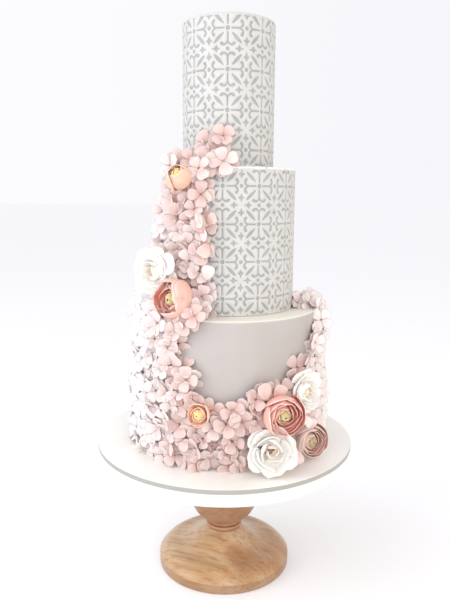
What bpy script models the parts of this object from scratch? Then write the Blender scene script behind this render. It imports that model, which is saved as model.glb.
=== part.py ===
"""Three-tier wedding cake on its turned wooden stand, with sugar flowers falling down its left side.

Frame: +Z up, metres, origin on the stand's axis at the height of its foot. The front of the cake looks
along -Y. An angle on the cake is in degrees round the cake's axis, 0 at the front and growing to the right.
"""
import math
import random

import bmesh
import bpy
import numpy as np
from mathutils import Matrix, Vector

# Clearance between pieces that touch, and the distance under which points are one
GAP = 0.0003
MERGE = 0.00001

# Stand: a turned wooden pedestal under a round white plate
FOOT_RADIUS = 0.0806
FOOT_RIM_HEIGHT = 0.0105
FOOT_EDGE = 0.0013
FOOT_SHOULDER = (0.0600, 0.0240)
FOOT_DOME_END = (0.0800, 0.0122)
NECK_RADIUS = 0.0205
NECK_HEIGHT = 0.0447
BEADS = 2
BEAD_PITCH = 0.0058
BEAD_PROUD = 0.0012
BOWL_RADIUS = 0.0445
BOWL_HEIGHT = 0.1003
BOWL_DROP = 0.0433
BOWL_RISE = 0.0340
COLLAR_RADIUS = 0.0400
COLLAR_HEIGHT = 0.0110
COLLAR_EDGE = 0.0030
PEDESTAL_HEIGHT = 0.1428
PLATE_RADIUS = 0.1500
PLATE_THICKNESS = 0.0160
PLATE_TOP_EDGE = 0.0012
PLATE_EDGE = 0.0040

# Cake board, a 12 inch drum
BOARD_RADIUS = 0.1525
BOARD_THICKNESS = 0.0048
BOARD_EDGE = 0.0008
PLATE_BASE = PEDESTAL_HEIGHT + GAP
BOARD_BASE = PLATE_BASE + PLATE_THICKNESS + GAP
BOARD_TOP = BOARD_BASE + BOARD_THICKNESS

# Tiers: 8, 6 and 4 inch cakes with their icing
CAKE_X = 0.0029
TOP_TIER_X = 0.0021
BOTTOM_RADIUS = 0.1037
MIDDLE_RADIUS = 0.0761
TOP_RADIUS = 0.0516
BOTTOM_HEIGHT = 0.1603
MIDDLE_HEIGHT = 0.1570
TOP_HEIGHT = 0.1567
TIER_EDGE = 0.0028
BOTTOM_BASE = BOARD_TOP + GAP
MIDDLE_BASE = BOTTOM_BASE + BOTTOM_HEIGHT + GAP
TOP_BASE = MIDDLE_BASE + MIDDLE_HEIGHT + GAP

# Number of sides of the round pieces
TIER_SIDES = 44
BOARD_SIDES = 60
PEDESTAL_SIDES = 32
BLOOM_SIDES = 15

# Hydrangea: small four-petal flowers, as wide as life, with a sunk throat on a neck and stem
FLORET_RADIUS = 0.0125
FLORET_SIZE_SPREAD = 0.08
FLORET_CUP = (0.0012, 0.0042)
FLORET_NOTCH = 0.46
FLORET_NOTCH_RISE = 0.3
FLORET_NECK = 0.0022
FLORET_DEPTH = 0.0030
FLORET_STEM = 0.0090
PETAL_TURN = 22.0

# How the florets lie over the cake's side
FLORET_STANDOFF = (0.0072, 0.0112)
FLORET_SPACING = 0.0280
ROW_SHARE = 0.92
FLORET_JITTER = 0.22
FLORET_LEAN = 0.27
BLOOM_MARGIN = 0.0030
GARLAND_SEED = 11

# The core under the florets, a thin layer that follows the steps of the cake
CORE_THICKNESS = 0.0050
CORE_DEPTH = 0.0040
CORE_BUMP = 0.0012
CORE_ROW = 0.042
CORE_COLUMN = 11.0
CORE_INSET = 5.0
CORE_OVERHANG = 0.0070
CORE_END = 0.0020
CORNER_ROUNDING = 0.0070
ENVELOPE_MARGIN = 0.0006

# Upper edge of the garland all round the cake: (angle, height over the board in mm)
GARLAND_EDGE = ((-124, 8), (-119, 70), (-112, 160), (-104, 196), (-88, 226), (-70, 252), (-56, 282),
                (-44, 318), (-38, 330), (-31, 330), (-29, 128), (-22, 104), (-18, 84), (-13, 70), (0, 68),
                (8, 76), (20, 84), (36, 90), (46, 108), (56, 118), (64, 146), (70, 164), (80, 172), (92, 172),
                (102, 110), (108, 40), (112, 8))
# The run of flowers down the front of the middle tier, and how far it hangs below the ledge under it
FRONT_EDGE = ((-48, 322), (-38, 330), (-18, 330))
FRONT_FALL = 0.012
# The small spray on the top tier, and how far it comes down past the ledge below it
SPRAY_EDGE = ((-52, 320), (-42, 334), (-30, 345), (-12, 353), (-4, 350), (-2, 330))
SPRAY_RISE = 0.060
SPRAY_FALL = 0.008

# Large sugar flowers: place as angle, distance from the cake's axis and height over the board;
# look as the angle and tilt they face; size as width and depth
BLOOMS = {
    "ranunculus_bud": dict(angle=-35, out=0.0915, up=0.3062, face=-32, tilt=46, width=0.0275, depth=0.0270,
                           kind="bud", colour="peach"),
    "white_flower_left": dict(angle=-55, out=0.1010, up=0.2070, face=-46, tilt=4, width=0.0450, depth=0.0250,
                              kind="rose", colour="white"),
    "ranunculus_left": dict(angle=-35.5, out=0.1025, up=0.1805, face=-38, tilt=8, width=0.0430, depth=0.0370,
                            kind="cup", colour="peach"),
    "ranunculus_small": dict(angle=-15, out=0.1185, up=0.0640, face=-20, tilt=6, width=0.0235, depth=0.0200,
                             kind="cup", colour="peach"),
    "ranunculus_large": dict(angle=28, out=0.1260, up=0.0625, face=12, tilt=-2, width=0.0435, depth=0.0360,
                             kind="cup", colour="peach"),
    "white_rose_front": dict(angle=21, out=0.1275, up=0.0270, face=10, tilt=14, width=0.0500, depth=0.0270,
                             kind="rose", colour="white"),
    "white_flower_right": dict(angle=45, out=0.1205, up=0.0820, face=46, tilt=8, width=0.0400, depth=0.0240,
                               kind="rose", colour="white"),
    "ranunculus_dusky": dict(angle=49, out=0.1230, up=0.0225, face=24, tilt=2, width=0.0370, depth=0.0330,
                             kind="cup", colour="dusky"),
}

COLOURS = {
    "peach": (0.88, 0.58, 0.48),
    "dusky": (0.62, 0.42, 0.38),
    "white": (0.93, 0.91, 0.87),
    "hydrangea": (0.85, 0.68, 0.66),
    "lattice": (0.86, 0.84, 0.80),
    "fondant": (0.70, 0.67, 0.63),
    "board": (0.88, 0.88, 0.85),
    "marble": (0.90, 0.90, 0.89),
    "wood": (0.56, 0.35, 0.20),
}


def empty_scene():
    for thing in list(bpy.data.objects):
        bpy.data.objects.remove(thing)


def make_material(name, colour, roughness):
    material = bpy.data.materials.new(name)
    material.use_nodes = True
    shader = material.node_tree.nodes["Principled BSDF"]
    shader.inputs["Base Color"].default_value = (*colour, 1.0)
    shader.inputs["Roughness"].default_value = roughness
    shader.inputs["Metallic"].default_value = 0.0
    return material


def make_collection(name):
    collection = bpy.data.collections.new(name)
    bpy.context.scene.collection.children.link(collection)
    return collection


def add_object(name, mesh, collection, material=None):
    thing = bpy.data.objects.new(name, mesh)
    collection.objects.link(thing)
    if material is not None:
        mesh.materials.append(material)
    return thing


def finished_mesh(name, body):
    mesh = bpy.data.meshes.new(name)
    body.to_mesh(mesh)
    body.free()
    return mesh


def round_point(radius, degrees, height):
    """A point at a radius and an angle round Z."""
    turn = math.radians(degrees)
    return (radius * math.cos(turn), radius * math.sin(turn), height)


def arc(centre, radii, start, end, steps):
    """Points on an ellipse about centre, from the start angle to the end angle in degrees."""
    turns = [math.radians(start + (end - start) * i / steps) for i in range(steps + 1)]
    return [(centre[0] + radii[0] * math.cos(t), centre[1] + radii[1] * math.sin(t)) for t in turns]


def turned(name, profile, sides, place, collection, material):
    """A solid of revolution: the profile, top to bottom on its outer side, carried round Z by a Screw."""
    mesh = bpy.data.meshes.new(name)
    points = [(r, 0.0, z) for r, z in profile]
    mesh.from_pydata(points, [(i, i + 1) for i in range(len(points) - 1)], [])
    thing = add_object(name, mesh, collection, material)
    thing.location = place
    screw = thing.modifiers.new("Turn the profile", 'SCREW')
    screw.steps = sides
    screw.render_steps = sides
    screw.use_merge_vertices = True
    screw.merge_threshold = MERGE
    screw.use_smooth_shade = True
    return thing


def round_slab(radius, height, top_edge, base_edge, steps):
    """Profile of a disc with its upper and lower edges rounded."""
    profile = [(0.0, height)]
    profile += arc((radius - top_edge, height - top_edge), (top_edge, top_edge), 90, 0, steps)
    if base_edge > 0:
        profile += arc((radius - base_edge, base_edge), (base_edge, base_edge), 0, -90, steps)
    else:
        profile.append((radius, 0.0))
    profile.append((0.0, 0.0))
    return profile


def pedestal_profile():
    """Turned pedestal from its flat top down: collar, bowl, beads, neck, flared foot and upright rim."""
    top = PEDESTAL_HEIGHT
    profile = [(0.0, top), (COLLAR_RADIUS - COLLAR_EDGE, top), (COLLAR_RADIUS, top - COLLAR_EDGE),
               (COLLAR_RADIUS, top - COLLAR_HEIGHT)]
    bowl_width = BOWL_RADIUS - NECK_RADIUS
    profile += arc((NECK_RADIUS, BOWL_HEIGHT), (bowl_width, BOWL_RISE), 48, 0, 3)
    profile += arc((NECK_RADIUS, BOWL_HEIGHT), (bowl_width, BOWL_DROP), -18, -86, 5)
    for i in range(BEADS):
        groove = NECK_HEIGHT + BEAD_PITCH * (BEADS - i)
        profile += [(NECK_RADIUS, groove), (NECK_RADIUS + BEAD_PROUD, groove - BEAD_PITCH / 2)]
    profile.append((NECK_RADIUS, NECK_HEIGHT))
    shoulder_r, shoulder_z = FOOT_SHOULDER
    flare_steps = 5
    for i in range(1, flare_steps):
        share = i / flare_steps
        r = NECK_RADIUS + (shoulder_r - NECK_RADIUS) * share
        z = shoulder_z + (NECK_HEIGHT - shoulder_z) * (1 - share) ** 1.7
        profile.append((r, z))
    # The dome is an eighth of an ellipse, from level at the shoulder down to its end at the rim
    eighth = math.sqrt(0.5)
    dome_width = (FOOT_DOME_END[0] - shoulder_r) / eighth
    dome_drop = (shoulder_z - FOOT_DOME_END[1]) / (1 - eighth)
    profile += arc((shoulder_r, shoulder_z - dome_drop), (dome_width, dome_drop), 90, 45, 3)
    profile += [(FOOT_RADIUS, FOOT_RIM_HEIGHT), (FOOT_RADIUS, FOOT_EDGE), (FOOT_RADIUS - FOOT_EDGE, 0.0), (0.0, 0.0)]
    return profile


def on_cake(angle, out, height):
    """World point at an angle in degrees, a distance from the cake's axis and a height over the board."""
    turn = math.radians(angle)
    return Vector((CAKE_X + out * math.sin(turn), -out * math.cos(turn), BOARD_TOP + height))


def facing(angle, tilt):
    """Unit vector that points out at an angle round the cake, tilted up by so many degrees."""
    turn, rise = math.radians(angle), math.radians(tilt)
    return Vector((math.sin(turn) * math.cos(rise), -math.cos(turn) * math.cos(rise), math.sin(rise)))


def bloom_rings(kind):
    """Unit profile of a bloom from its back to its heart: (radius, height, petals, ruffle) of each ring."""
    if kind == "rose":
        rings = [(0.34, 0.02, 5, 0.00), (0.74, 0.22, 5, 0.05), (1.00, 0.52, 5, 0.11), (0.86, 0.58, 5, 0.07),
                 (0.58, 0.36, 5, 0.02), (0.70, 0.84, 4, 0.11), (0.52, 0.80, 4, 0.06), (0.40, 0.48, 4, 0.02),
                 (0.38, 0.98, 3, 0.10), (0.26, 0.90, 3, 0.05), (0.17, 0.62, 3, 0.00), (0.09, 0.72, 3, 0.00)]
    elif kind == "cup":
        rings = [(0.40, 0.02, 5, 0.00), (0.80, 0.18, 5, 0.02), (1.00, 0.48, 5, 0.04), (0.96, 0.76, 5, 0.05),
                 (0.82, 0.93, 5, 0.06), (0.72, 0.62, 5, 0.02), (0.66, 0.98, 5, 0.06), (0.55, 0.60, 4, 0.02),
                 (0.48, 0.94, 4, 0.06), (0.37, 0.58, 4, 0.02), (0.28, 0.82, 3, 0.04), (0.16, 0.62, 3, 0.00)]
    else:
        rings = [(0.42, 0.03, 4, 0.00), (0.80, 0.17, 4, 0.01), (1.00, 0.45, 4, 0.02), (0.95, 0.72, 4, 0.04),
                 (0.66, 0.97, 4, 0.06), (0.56, 0.70, 4, 0.02), (0.46, 0.98, 3, 0.06), (0.34, 0.68, 3, 0.02),
                 (0.24, 0.90, 3, 0.04), (0.13, 0.72, 3, 0.00)]
    return rings


def bloom_mesh(name, bloom):
    """Nested cups of petals as one closed surface: rings of points, each with its petals bowed out."""
    rings = bloom_rings(bloom["kind"])
    turns = np.arange(BLOOM_SIDES) * 2 * math.pi / BLOOM_SIDES
    half, depth = bloom["width"] / 2, bloom["depth"]
    ring_turn = 0.9
    body = bmesh.new()
    loops = []
    for i, (radius, height, petals, ruffle) in enumerate(rings):
        # A petal is full at its middle and falls back where it meets the next one
        bow = 2 * np.abs(np.cos(petals * turns / 2 + ring_turn * (i // 2))) ** 0.6 - 1.3
        wave = half * radius * (1 + ruffle * bow)
        rise = depth * (height + 0.45 * ruffle * bow - 0.5)
        loops.append([body.verts.new((w * math.cos(t), w * math.sin(t), h)) for w, h, t in zip(wave, rise, turns)])
    back = body.verts.new((0, 0, -0.5 * depth))
    heart = body.verts.new((0, 0, depth * (rings[-1][1] - 0.44)))
    for j in range(BLOOM_SIDES):
        k = (j + 1) % BLOOM_SIDES
        body.faces.new((back, loops[0][k], loops[0][j]))
        body.faces.new((heart, loops[-1][j], loops[-1][k]))
        for low, high in zip(loops[:-1], loops[1:]):
            body.faces.new((low[j], low[k], high[k], high[j]))
    bmesh.ops.triangulate(body, faces=body.faces[:])
    return finished_mesh(name, body)


def bloom_matrix(bloom):
    """Places a bloom, whose own +Z is the way it faces."""
    look = facing(bloom["face"], bloom["tilt"])
    turn = look.to_track_quat('Z', 'Y').to_matrix().to_4x4()
    return Matrix.Translation(on_cake(bloom["angle"], bloom["out"], bloom["up"])) @ turn


def envelope(name, bloom, collection):
    """The tight hull of a bloom, a little larger, which keeps its neighbours clear of it."""
    body = bmesh.new()
    for vert in bloom_mesh(name, bloom).vertices:
        body.verts.new(vert.co)
    hull = bmesh.ops.convex_hull(body, input=body.verts[:], use_existing_faces=False)
    spare = {item for item in hull["geom_interior"] + hull["geom_unused"] if isinstance(item, bmesh.types.BMVert)}
    bmesh.ops.delete(body, geom=list(spare), context='VERTS')
    bmesh.ops.recalc_face_normals(body, faces=body.faces[:])
    body.normal_update()
    for vert in body.verts:
        vert.co += ENVELOPE_MARGIN * vert.normal
    body.transform(bloom_matrix(bloom))
    hide_helper(add_object(name, finished_mesh(name, body), collection))


def hide_helper(thing):
    thing.hide_render = True
    thing.display_type = 'WIRE'


def wall_path():
    """The cake's stepped side as (distance from the axis, height over the board), from top to board."""
    low_ledge = MIDDLE_BASE - BOARD_TOP
    high_ledge = TOP_BASE - BOARD_TOP
    return [(TOP_RADIUS, high_ledge + SPRAY_RISE), (TOP_RADIUS, high_ledge), (MIDDLE_RADIUS, high_ledge),
            (MIDDLE_RADIUS, low_ledge), (BOTTOM_RADIUS, low_ledge), (BOTTOM_RADIUS, 0.0)]


PATH = np.array(wall_path())
PATH_STEPS = np.hypot(*np.diff(PATH, axis=0).T)
PATH_MARKS = np.concatenate([[0.0], np.cumsum(PATH_STEPS)])


def path_point(s):
    """Distance and height of the side, s metres along it from its upper end."""
    return np.array([np.interp(s, PATH_MARKS, PATH[:, 0]), np.interp(s, PATH_MARKS, PATH[:, 1])])


def path_normal(s):
    """The way the side looks there, turning smoothly at its corners."""
    step = path_point(s + CORNER_ROUNDING) - path_point(s - CORNER_ROUNDING)
    normal = np.array([-step[1], step[0]])
    return normal / np.linalg.norm(normal)


def path_mark(height_mm):
    """How far along the side a height lies, measured on the walls and not on the ledges."""
    height = height_mm / 1000
    marks = np.linspace(0, PATH_MARKS[-1], 1201)
    heights = np.interp(marks, PATH_MARKS, PATH[:, 1])
    return float(marks[np.argmin(np.abs(heights - height))])


def reach(edge, angle):
    """Where along the side the flowers start at this angle, from the named points of their edge."""
    angles = [a for a, h in edge]
    return float(np.interp(angle, angles, [path_mark(h) for a, h in edge]))


def core_reach(edge, angle):
    """The core starts a little inside the flowers' edge, so that florets overhang it on every side."""
    return max(reach(edge, angle + turn) for turn in (-CORE_INSET, 0, CORE_INSET)) + CORE_OVERHANG


def over_side(angle, s, off):
    """World point off the cake's side at an angle and a mark along the side."""
    base = path_point(s)
    normal = path_normal(s)
    place = base + off * normal
    return on_cake(angle, place[0], place[1])


def core_mesh(name, edge, last_mark):
    """Thin bumpy layer over the side, from the flowers' upper edge to a last mark, closed all round."""
    first, last = edge[0][0], edge[-1][0]
    count = round((last - first) / CORE_COLUMN)
    angles = np.linspace(first, last, count + 1)
    shortest = 0.004
    rows = set(PATH_MARKS[1:-1]) | set(np.arange(shortest, last_mark, CORE_ROW)) | {last_mark}
    rows = sorted(m for m in rows if m <= last_mark)
    body = bmesh.new()
    outer, inner = [], []
    for i, angle in enumerate(angles):
        start = min(core_reach(edge, angle), last_mark - shortest)
        # Rows above the flowers' edge all lie on it, and are merged below
        marks = [max(m, start) for m in rows]
        bumps = [CORE_BUMP * math.sin(1.9 * i + 2.3 * j) if m > start else 0.0 for j, m in enumerate(marks)]
        outer.append([body.verts.new(over_side(angle, m, CORE_THICKNESS + b)) for m, b in zip(marks, bumps)])
        inner.append([body.verts.new(over_side(angle, m, -CORE_DEPTH)) for m in marks])
    for i in range(count):
        for j in range(len(rows) - 1):
            body.faces.new((outer[i][j], outer[i][j + 1], outer[i + 1][j + 1], outer[i + 1][j]))
            body.faces.new((inner[i][j], inner[i + 1][j], inner[i + 1][j + 1], inner[i][j + 1]))
        body.faces.new((outer[i][0], outer[i + 1][0], inner[i + 1][0], inner[i][0]))
        body.faces.new((outer[i][-1], inner[i][-1], inner[i + 1][-1], outer[i + 1][-1]))
    for j in range(len(rows) - 1):
        body.faces.new((outer[0][j], inner[0][j], inner[0][j + 1], outer[0][j + 1]))
        body.faces.new((outer[-1][j], outer[-1][j + 1], inner[-1][j + 1], inner[-1][j]))
    bmesh.ops.triangulate(body, faces=body.faces[:])
    bmesh.ops.remove_doubles(body, verts=body.verts[:], dist=MERGE)
    bmesh.ops.dissolve_degenerate(body, edges=body.edges[:], dist=MERGE)
    bmesh.ops.recalc_face_normals(body, faces=body.faces[:])
    return finished_mesh(name, body)


def floret_mesh(name, radius, cup):
    """Four thin petals round a sunk throat, on a narrow square neck that ends in a stem."""
    body = bmesh.new()
    notches, petals, necks = [], [], []
    for quarter in range(4):
        between = 90 * quarter + 45
        middle = 90 * (quarter + 1)
        notches.append(body.verts.new(round_point(FLORET_NOTCH * radius, between, FLORET_NOTCH_RISE * cup)))
        necks.append(body.verts.new(round_point(FLORET_NECK, between, -FLORET_DEPTH)))
        tips = (middle - PETAL_TURN, middle + PETAL_TURN)
        petals.append([body.verts.new(round_point(radius, tip, cup)) for tip in tips])
    throat = body.verts.new((0, 0, 0))
    stem = body.verts.new((0, 0, -FLORET_STEM))
    for quarter in range(4):
        after = (quarter + 1) % 4
        left, right = petals[quarter]
        start, end = notches[quarter], notches[after]
        body.faces.new((throat, start, left))
        body.faces.new((throat, left, right))
        body.faces.new((throat, right, end))
        body.faces.new((necks[quarter], left, start))
        body.faces.new((necks[quarter], right, left))
        body.faces.new((necks[quarter], necks[after], right))
        body.faces.new((necks[after], end, right))
        body.faces.new((stem, necks[after], necks[quarter]))
    return finished_mesh(name, body)


def floret_places(edge, last_mark, draw):
    """Jittered rows of florets over the flowers' reach: (angle, mark along the side)."""
    places = []
    row_step = FLORET_SPACING * ROW_SHARE
    lowest = last_mark - 0.5 * FLORET_RADIUS
    for j in range(int(lowest / row_step) + 1):
        mark = lowest - j * row_step
        angle_step = math.degrees(FLORET_SPACING / path_point(mark)[0])
        angle = edge[0][0] + angle_step * (0.5 * (j % 2) + 0.3)
        while angle < edge[-1][0]:
            spot = angle + draw.uniform(-FLORET_JITTER, FLORET_JITTER) * angle_step
            level = mark + draw.uniform(-FLORET_JITTER, FLORET_JITTER) * row_step
            if reach(edge, spot) < level < last_mark - CORE_END:
                places.append((spot, level))
            angle += angle_step
    return places


def clear_of_blooms(point):
    for bloom in BLOOMS.values():
        centre = on_cake(bloom["angle"], bloom["out"], bloom["up"])
        if (point - centre).length < bloom["width"] / 2 + BLOOM_MARGIN:
            return False
    return True


def add_florets(places, draw, collection):
    """Sets a floret at each place, leaning and turned at random, except where a bloom sits."""
    count = 0
    for angle, mark in places:
        normal = path_normal(mark)
        turn = math.radians(angle)
        out = Vector((normal[0] * math.sin(turn), -normal[0] * math.cos(turn), normal[1]))
        lean = FLORET_LEAN * Vector([draw.gauss(0, 1) for axis in range(3)])
        look = (out + lean - out * lean.dot(out)).normalized()
        size = FLORET_RADIUS * draw.uniform(1 - FLORET_SIZE_SPREAD, 1 + FLORET_SIZE_SPREAD)
        spot = over_side(angle, mark, draw.uniform(*FLORET_STANDOFF))
        cup = draw.uniform(*FLORET_CUP)
        spin = Matrix.Rotation(math.radians(draw.uniform(0, 90)), 4, 'Z')
        if clear_of_blooms(spot):
            count += 1
            floret = add_object(f"floret_{count:03d}", floret_mesh("floret", size, cup), collection)
            pose = look.to_track_quat('Z', 'Y').to_matrix().to_4x4()
            floret.matrix_world = Matrix.Translation(spot) @ pose @ spin
    return count


def apply_boolean(thing, operation, collection):
    """Joins or cuts with everything in a collection, and keeps the result as the object's mesh."""
    join = thing.modifiers.new(operation.title(), 'BOOLEAN')
    join.operation = operation
    join.operand_type = 'COLLECTION'
    join.collection = collection
    join.solver = 'MANIFOLD'
    graph = bpy.context.evaluated_depsgraph_get()
    mesh = bpy.data.meshes.new_from_object(thing.evaluated_get(graph))
    thing.modifiers.clear()
    thing.data = mesh


def remove_collection(collection):
    for thing in list(collection.objects):
        bpy.data.objects.remove(thing)
    bpy.data.collections.remove(collection)


def keep_largest(thing):
    """Drops loose scraps and the shells of sealed hollows, and leaves the one big body."""
    body = bmesh.new()
    body.from_mesh(thing.data)
    bmesh.ops.dissolve_degenerate(body, edges=body.edges[:], dist=MERGE / 2)
    bmesh.ops.triangulate(body, faces=body.faces[:])
    body.verts.ensure_lookup_table()
    left = set(body.verts)
    shells = []
    while left:
        stack = [left.pop()]
        shell = set(stack)
        while stack:
            vert = stack.pop()
            for edge in vert.link_edges:
                other = edge.other_vert(vert)
                if other in left:
                    left.discard(other)
                    shell.add(other)
                    stack.append(other)
        shells.append(shell)
    shells.sort(key=len)
    scraps = [vert for shell in shells[:-1] for vert in shell]
    bmesh.ops.delete(body, geom=scraps, context='VERTS')
    body.to_mesh(thing.data)
    body.free()
    return len(shells) - 1


def tier_cutters(collection):
    """Copies of the tiers and the board, grown by the gap, that trim the flowers clear of the cake."""
    for name, x, radius, base, height in (
            ("clear_bottom", CAKE_X, BOTTOM_RADIUS, BOTTOM_BASE, BOTTOM_HEIGHT),
            ("clear_middle", CAKE_X, MIDDLE_RADIUS, MIDDLE_BASE, MIDDLE_HEIGHT),
            ("clear_top", TOP_TIER_X, TOP_RADIUS, TOP_BASE, TOP_HEIGHT)):
        grown = (radius + GAP) / math.cos(math.pi / TIER_SIDES)
        profile = [(0.0, height + GAP), (grown, height + GAP), (grown, -2 * GAP), (0.0, -2 * GAP)]
        hide_helper(turned(name, profile, TIER_SIDES, (x, 0, base), collection, None))
    wide, deep = 1.2 * BOARD_RADIUS, -10 * BOARD_THICKNESS
    profile = [(0.0, GAP), (wide, GAP), (wide, deep), (0.0, deep)]
    hide_helper(turned("clear_board", profile, TIER_SIDES, (0, 0, BOARD_TOP), collection, None))


def build_stand(parts):
    wood = make_material("turned_wood", COLOURS["wood"], 0.35)
    marble = make_material("marble", COLOURS["marble"], 0.25)
    white = make_material("board_cover", COLOURS["board"], 0.45)
    turned("pedestal", pedestal_profile(), PEDESTAL_SIDES, (0, 0, 0), parts, wood)
    plate = round_slab(PLATE_RADIUS, PLATE_THICKNESS, PLATE_TOP_EDGE, PLATE_EDGE, 2)
    turned("stand_plate", plate, BOARD_SIDES, (0, 0, PLATE_BASE), parts, marble)
    board = round_slab(BOARD_RADIUS, BOARD_THICKNESS, BOARD_EDGE, BOARD_EDGE, 1)
    turned("cake_board", board, BOARD_SIDES, (0, 0, BOARD_BASE), parts, white)


def build_tiers(parts):
    fondant = make_material("fondant", COLOURS["fondant"], 0.6)
    lattice = make_material("stencilled_icing", COLOURS["lattice"], 0.6)
    for name, x, radius, base, height, material in (
            ("tier_bottom", CAKE_X, BOTTOM_RADIUS, BOTTOM_BASE, BOTTOM_HEIGHT, fondant),
            ("tier_middle", CAKE_X, MIDDLE_RADIUS, MIDDLE_BASE, MIDDLE_HEIGHT, lattice),
            ("tier_top", TOP_TIER_X, TOP_RADIUS, TOP_BASE, TOP_HEIGHT, lattice)):
        profile = round_slab(radius, height, TIER_EDGE, 0, 2)
        turned(name, profile, TIER_SIDES, (x, 0, base), parts, material)


def build_blooms(parts):
    """Each large flower is trimmed by the cake and by the envelope of a flower in front of it."""
    sugar = {key: make_material("sugar_" + key, COLOURS[key], 0.55) for key in ("peach", "dusky", "white")}
    in_front = {"ranunculus_large": "white_rose_front", "white_flower_right": "ranunculus_large",
                "white_flower_left": "ranunculus_left", "ranunculus_dusky": "white_rose_front"}
    for name, bloom in BLOOMS.items():
        mesh = bloom_mesh(name, bloom)
        mesh.transform(bloom_matrix(bloom))
        thing = add_object(name, mesh, parts)
        cutters = make_collection("cut_" + name)
        tier_cutters(cutters)
        if name in in_front:
            envelope("clear_" + in_front[name], BLOOMS[in_front[name]], cutters)
        bpy.context.view_layer.update()
        apply_boolean(thing, 'DIFFERENCE', cutters)
        keep_largest(thing)
        remove_collection(cutters)
        thing.data.materials.clear()
        thing.data.materials.append(sugar[bloom["colour"]])
        print(f"{name}: {len(thing.data.polygons)} faces")


def build_garland(parts):
    """The hydrangea in one heap: core, florets fused on, then trimmed by cake and large flowers."""
    pink = make_material("sugar_hydrangea", COLOURS["hydrangea"], 0.6)
    draw = random.Random(GARLAND_SEED)
    board_mark = float(PATH_MARKS[-1])
    front_mark = float(PATH_MARKS[4]) + FRONT_FALL
    spray_mark = float(PATH_MARKS[2]) + SPRAY_FALL
    core = core_mesh("hydrangea_garland", GARLAND_EDGE, board_mark - CORE_END)
    garland = add_object("hydrangea_garland", core, parts)
    fused = make_collection("fused")
    places = floret_places(GARLAND_EDGE, board_mark, draw)
    for name, edge, last_mark in (("front", FRONT_EDGE, front_mark), ("spray", SPRAY_EDGE, spray_mark)):
        add_object(f"core_{name}", core_mesh(f"core_{name}", edge, last_mark), fused)
        places += floret_places(edge, last_mark, draw)
    count = add_florets(places, draw, fused)
    bpy.context.view_layer.update()
    apply_boolean(garland, 'UNION', fused)
    remove_collection(fused)
    cutters = make_collection("cut_garland")
    tier_cutters(cutters)
    for name, bloom in BLOOMS.items():
        envelope("clear_" + name, bloom, cutters)
    bpy.context.view_layer.update()
    apply_boolean(garland, 'DIFFERENCE', cutters)
    remove_collection(cutters)
    scraps = keep_largest(garland)
    garland.data.materials.clear()
    garland.data.materials.append(pink)
    print(f"garland: {count} florets, {len(garland.data.polygons)} faces, {scraps} scraps dropped")


def main():
    empty_scene()
    parts = make_collection("wedding_cake")
    build_stand(parts)
    build_tiers(parts)
    build_blooms(parts)
    build_garland(parts)


main()
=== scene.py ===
# %% [markdown]
# # A wedding cake on its stand
# The real cake has three round tiers on a thin board, a marble plate and a turned wooden foot. The two upper
# tiers carry a white stencilled lattice over grey icing, and sugar flowers run down one side to the board.
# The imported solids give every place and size. Each one is replaced here by a finer surface of the same form.

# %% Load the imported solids
import math

import bmesh
import bpy
import numpy as np
from mathutils import Matrix, Vector
from mathutils.geometry import delaunay_2d_cdt


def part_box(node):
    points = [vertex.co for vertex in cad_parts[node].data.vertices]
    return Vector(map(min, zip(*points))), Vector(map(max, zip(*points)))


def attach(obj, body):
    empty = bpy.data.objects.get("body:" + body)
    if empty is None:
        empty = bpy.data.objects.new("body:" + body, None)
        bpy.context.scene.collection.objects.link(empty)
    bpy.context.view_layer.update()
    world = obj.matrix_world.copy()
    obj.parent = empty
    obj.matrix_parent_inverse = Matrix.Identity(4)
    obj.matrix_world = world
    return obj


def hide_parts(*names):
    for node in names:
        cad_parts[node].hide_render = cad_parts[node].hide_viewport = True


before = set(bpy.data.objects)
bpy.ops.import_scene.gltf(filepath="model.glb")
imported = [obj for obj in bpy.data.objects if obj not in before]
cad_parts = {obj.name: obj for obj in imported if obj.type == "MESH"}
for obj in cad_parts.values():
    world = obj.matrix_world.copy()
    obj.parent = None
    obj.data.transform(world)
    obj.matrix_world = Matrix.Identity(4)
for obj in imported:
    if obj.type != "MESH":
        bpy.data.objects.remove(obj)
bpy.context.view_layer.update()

print("solids:", sorted(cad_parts))

# %% [markdown]
# ## Camera and light
# The photo was taken from just in front of the cake, a little above its middle, looking slightly down. A
# bright white room gives almost no shadow, so the world itself is the main light. Three large soft lamps
# shape the cake: one on the left for the window, one in front, and a weak warm one on the right for the light
# that the room sends back.

# %% Camera at the photo's place and angle
EYE = (-0.0005, -0.7308, 0.4527)
LOOK_DOWN = 0.16603
HEAD_TILT = 0.00635
LENS_MM = 37.4
FILM_MM = 36.0


def new_object(name, data, matrix=Matrix()):
    """An object in the scene. Its matrix gives its place and its turn."""
    made = bpy.data.objects.new(name, data)
    bpy.context.scene.collection.objects.link(made)
    made.matrix_world = matrix
    return made


lens = bpy.data.cameras.new("camera")
lens.sensor_fit, lens.sensor_height, lens.lens = 'VERTICAL', FILM_MM, LENS_MM
turn = Matrix.Rotation(math.pi / 2 - LOOK_DOWN, 4, 'X') @ Matrix.Rotation(HEAD_TILT, 4, 'Z')
bpy.context.scene.camera = new_object("camera", lens, Matrix.Translation(EYE) @ turn)
print("camera at", EYE)

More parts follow.
